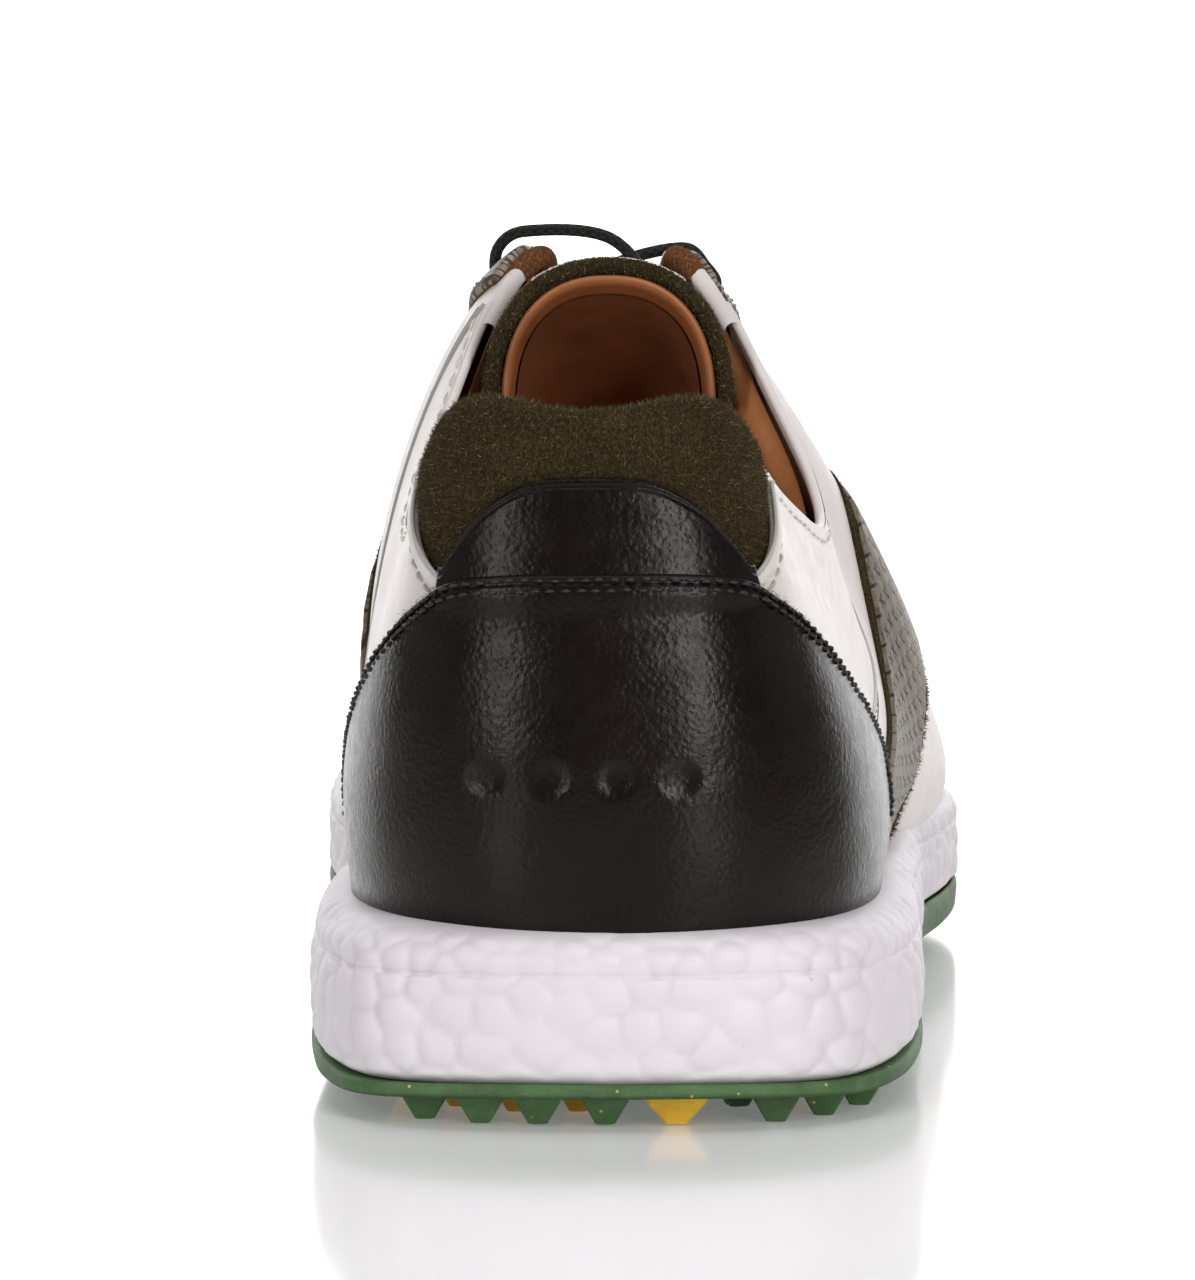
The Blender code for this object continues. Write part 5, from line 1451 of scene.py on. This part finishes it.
# ---------------------------------------------------------------- the lace
def lace_route():
    """Points down the middle of the lace, from one tucked end to the other, as in the CAD."""
    over, under = 5.2, -6.0
    high_cross, low_cross = 3.2, 0.2

    def at(sign, row, inset, lift):
        q = sign * row
        return skin(q, edge_inset(q, inset), lift)

    def midway(row, lift):
        """Halfway across the throat, lifted off the tongue."""
        middle = (at(1, row, 0, 0) + at(-1, row, 0, 0)) / 2
        return middle + np.array([0, 0.5 * lift, 0.85 * lift])

    def crossing(sign, low_row, high_row, lift):
        rise = high_row - low_row
        return [
            at(sign, low_row, HOLE_INSET, over - 1.2),
            at(sign, low_row + rise * 0.08, 6.2, over),
            at(sign, low_row + rise * 0.25, 1.5, over - 0.4),
            midway((low_row + high_row) / 2, lift),
            at(-sign, high_row - rise * 0.2, 0.0, under + 0.1),
            at(-sign, high_row, 5.0, under - 0.1),
            at(-sign, high_row, HOLE_INSET, under + 0.3),
            at(-sign, high_row, HOLE_INSET, 0),
        ]

    rows = HOLE_ROWS[::-1]

    def half(sign, lifts):
        points = [at(sign, rows[0], HOLE_INSET, 0)]
        for i in range(len(rows) - 1):
            points += crossing(sign, rows[i], rows[i + 1], lifts[i])
            sign = -sign
        return points, sign

    def tail(side, lift, top):
        return [
            at(side, rows[-1], HOLE_INSET, over - 1.2),
            at(side, top + 0.05, 6.0, over),
            at(side, top, 1.5, over - 0.4),
            midway(top, lift),
            at(-side, top + 0.15, 0.0, under + 0.1),
            at(-side, top + 0.45, 6.0, under - 0.3),
            at(-side, top + 0.9, 13.5, under - 0.2),
            at(-side, top + 1.6, 15.0, under - 0.2),
            at(-side, top + 2.4, 15.0, under - 0.2),
        ]

    first, first_side = half(1, [high_cross, low_cross] * 2)
    second, second_side = half(-1, [low_cross, high_cross] * 2)
    bar = [
        at(1, rows[0], HOLE_INSET, under + 0.3),
        at(1, rows[0], 4.0, under - 0.3),
        (at(1, rows[0], 0, under - 1.2) + at(-1, rows[0], 0, under - 1.2)) / 2,
        at(-1, rows[0], 4.0, under - 0.3),
        at(-1, rows[0], HOLE_INSET, under + 0.3),
    ]
    first += tail(first_side, low_cross, 9.45)
    second += tail(second_side, high_cross, 9.05)
    return first[::-1] + bar + second


def through(points, step):
    """Points about a step apart on a smooth curve through the given points."""
    points = np.array(points)
    n = len(points)
    lengths = np.linalg.norm(np.diff(points, axis=0), axis=1)
    knots = np.concatenate([[0], np.cumsum(np.sqrt(lengths))])
    slopes = np.zeros_like(points)
    for i in range(n):
        a, b = max(i - 1, 0), min(i + 1, n - 1)
        slopes[i] = (points[b] - points[a]) / (knots[b] - knots[a])
    line = []
    for i in range(n - 1):
        span = knots[i + 1] - knots[i]
        for t in np.linspace(0, 1, max(1, round(lengths[i] / step)), endpoint=False):
            line.append(hermite(points[i], span * slopes[i], points[i + 1], span * slopes[i + 1], t))
    return np.array([*line, points[-1]])


lace_line = through(lace_route(), 0.55)
AGLET_POINTS = 26  # points of the line that each aglet covers
add_tube("lace_cord", lace_line[AGLET_POINTS:-AGLET_POINTS], 0.8 * LACE_RADIUS, black_braid,
         ("lace",), sides=14)


# ---------------------------------------------------------------- CAD nodes that stay
KEPT = {
    "shank": steel,
    "lasting_board": board,
    "sockliner": tan_leather,
    "vamp_lining": lining_cloth,
    "toe_puff": stiff_fabric,
    "counter_stiffener": stiff_fabric,
    "aglet_a": clear_tip,
    "aglet_b": clear_tip,
}
for name, material in KEPT.items():
    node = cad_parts[name]
    node.data.materials.clear()
    node.data.materials.append(material)


# ---------------------------------------------------------------- floor, light and camera
def stage_plane(name, size, place, turn, material):
    bpy.ops.mesh.primitive_plane_add(size=size, location=place, rotation=turn)
    made = bpy.context.object
    made.name = name
    made.data.materials.append(material)


floor_paint = Shader("floor_paint").set(
    Base_Color=(0.8, 0.8, 0.8), Roughness=0.12, Emission_Color=(1, 1, 1), Emission_Strength=0.14
).material
wall_paint = Shader("wall_paint").set(
    Base_Color=(0.8, 0.8, 0.8), Roughness=1.0, Emission_Color=(1, 1, 1), Emission_Strength=1.9
).material
stage_plane("floor", 12.0, (0, 3.0, 0), (0, 0, 0), floor_paint)
stage_plane("back_wall", 8.0, (0, 4.0, 0), (math.pi / 2, 0, 0), wall_paint)


def soft_box(name, place, target, width, height, power):
    data = bpy.data.lights.new(name, "AREA")
    data.shape = "RECTANGLE"
    data.size, data.size_y = width, height
    data.energy = power
    made = bpy.data.objects.new(name, data)
    bpy.context.scene.collection.objects.link(made)
    made.location = place
    made.rotation_euler = (Vector(target) - Vector(place)).to_track_quat("-Z", "Y").to_euler()
    made.visible_camera = False


heel = (0.0, -0.12, 0.06)
# place and target in metres, width and height in metres, power in watts
soft_box("strip_right", (0.62, -1.15, 0.50), heel, 0.22, 0.8, 8.0)
soft_box("strip_left", (-0.80, -1.05, 0.45), heel, 0.24, 0.7, 4.4)
soft_box("overhead", (0.0, -0.1, 1.25), (0, 0.0, 0), 1.3, 1.3, 7)
soft_box("side_right", (1.1, 0.0, 0.5), (0, 0, 0.05), 0.8, 0.7, 0.5)
soft_box("side_left", (-1.1, 0.0, 0.5), (0, 0, 0.05), 0.8, 0.7, 0.7)

world = bpy.data.worlds.new("studio")
bpy.context.scene.world = world
world.use_nodes = True
world.node_tree.nodes["Background"].inputs["Color"].default_value = (1, 1, 1, 1)
world.node_tree.nodes["Background"].inputs["Strength"].default_value = 0.12

CAMERA_LAST = (-2.72, -970.1, 167.14)  # in last coordinates, behind the heel and above the shoe
PITCH = math.radians(5.668)
FOCAL_LENGTH, SENSOR_WIDTH = 193.18, 36
lens = bpy.data.cameras.new("camera")
lens.sensor_width = SENSOR_WIDTH
lens.lens = FOCAL_LENGTH
lens.clip_end = 50  # metres, past the back wall
camera = bpy.data.objects.new("camera", lens)
camera.location = to_frame(CAMERA_LAST)
camera.rotation_euler = (math.pi / 2 - PITCH, 0, 0)
bpy.context.scene.collection.objects.link(camera)
bpy.context.scene.camera = camera
bpy.context.scene.view_settings.view_transform = "Standard"
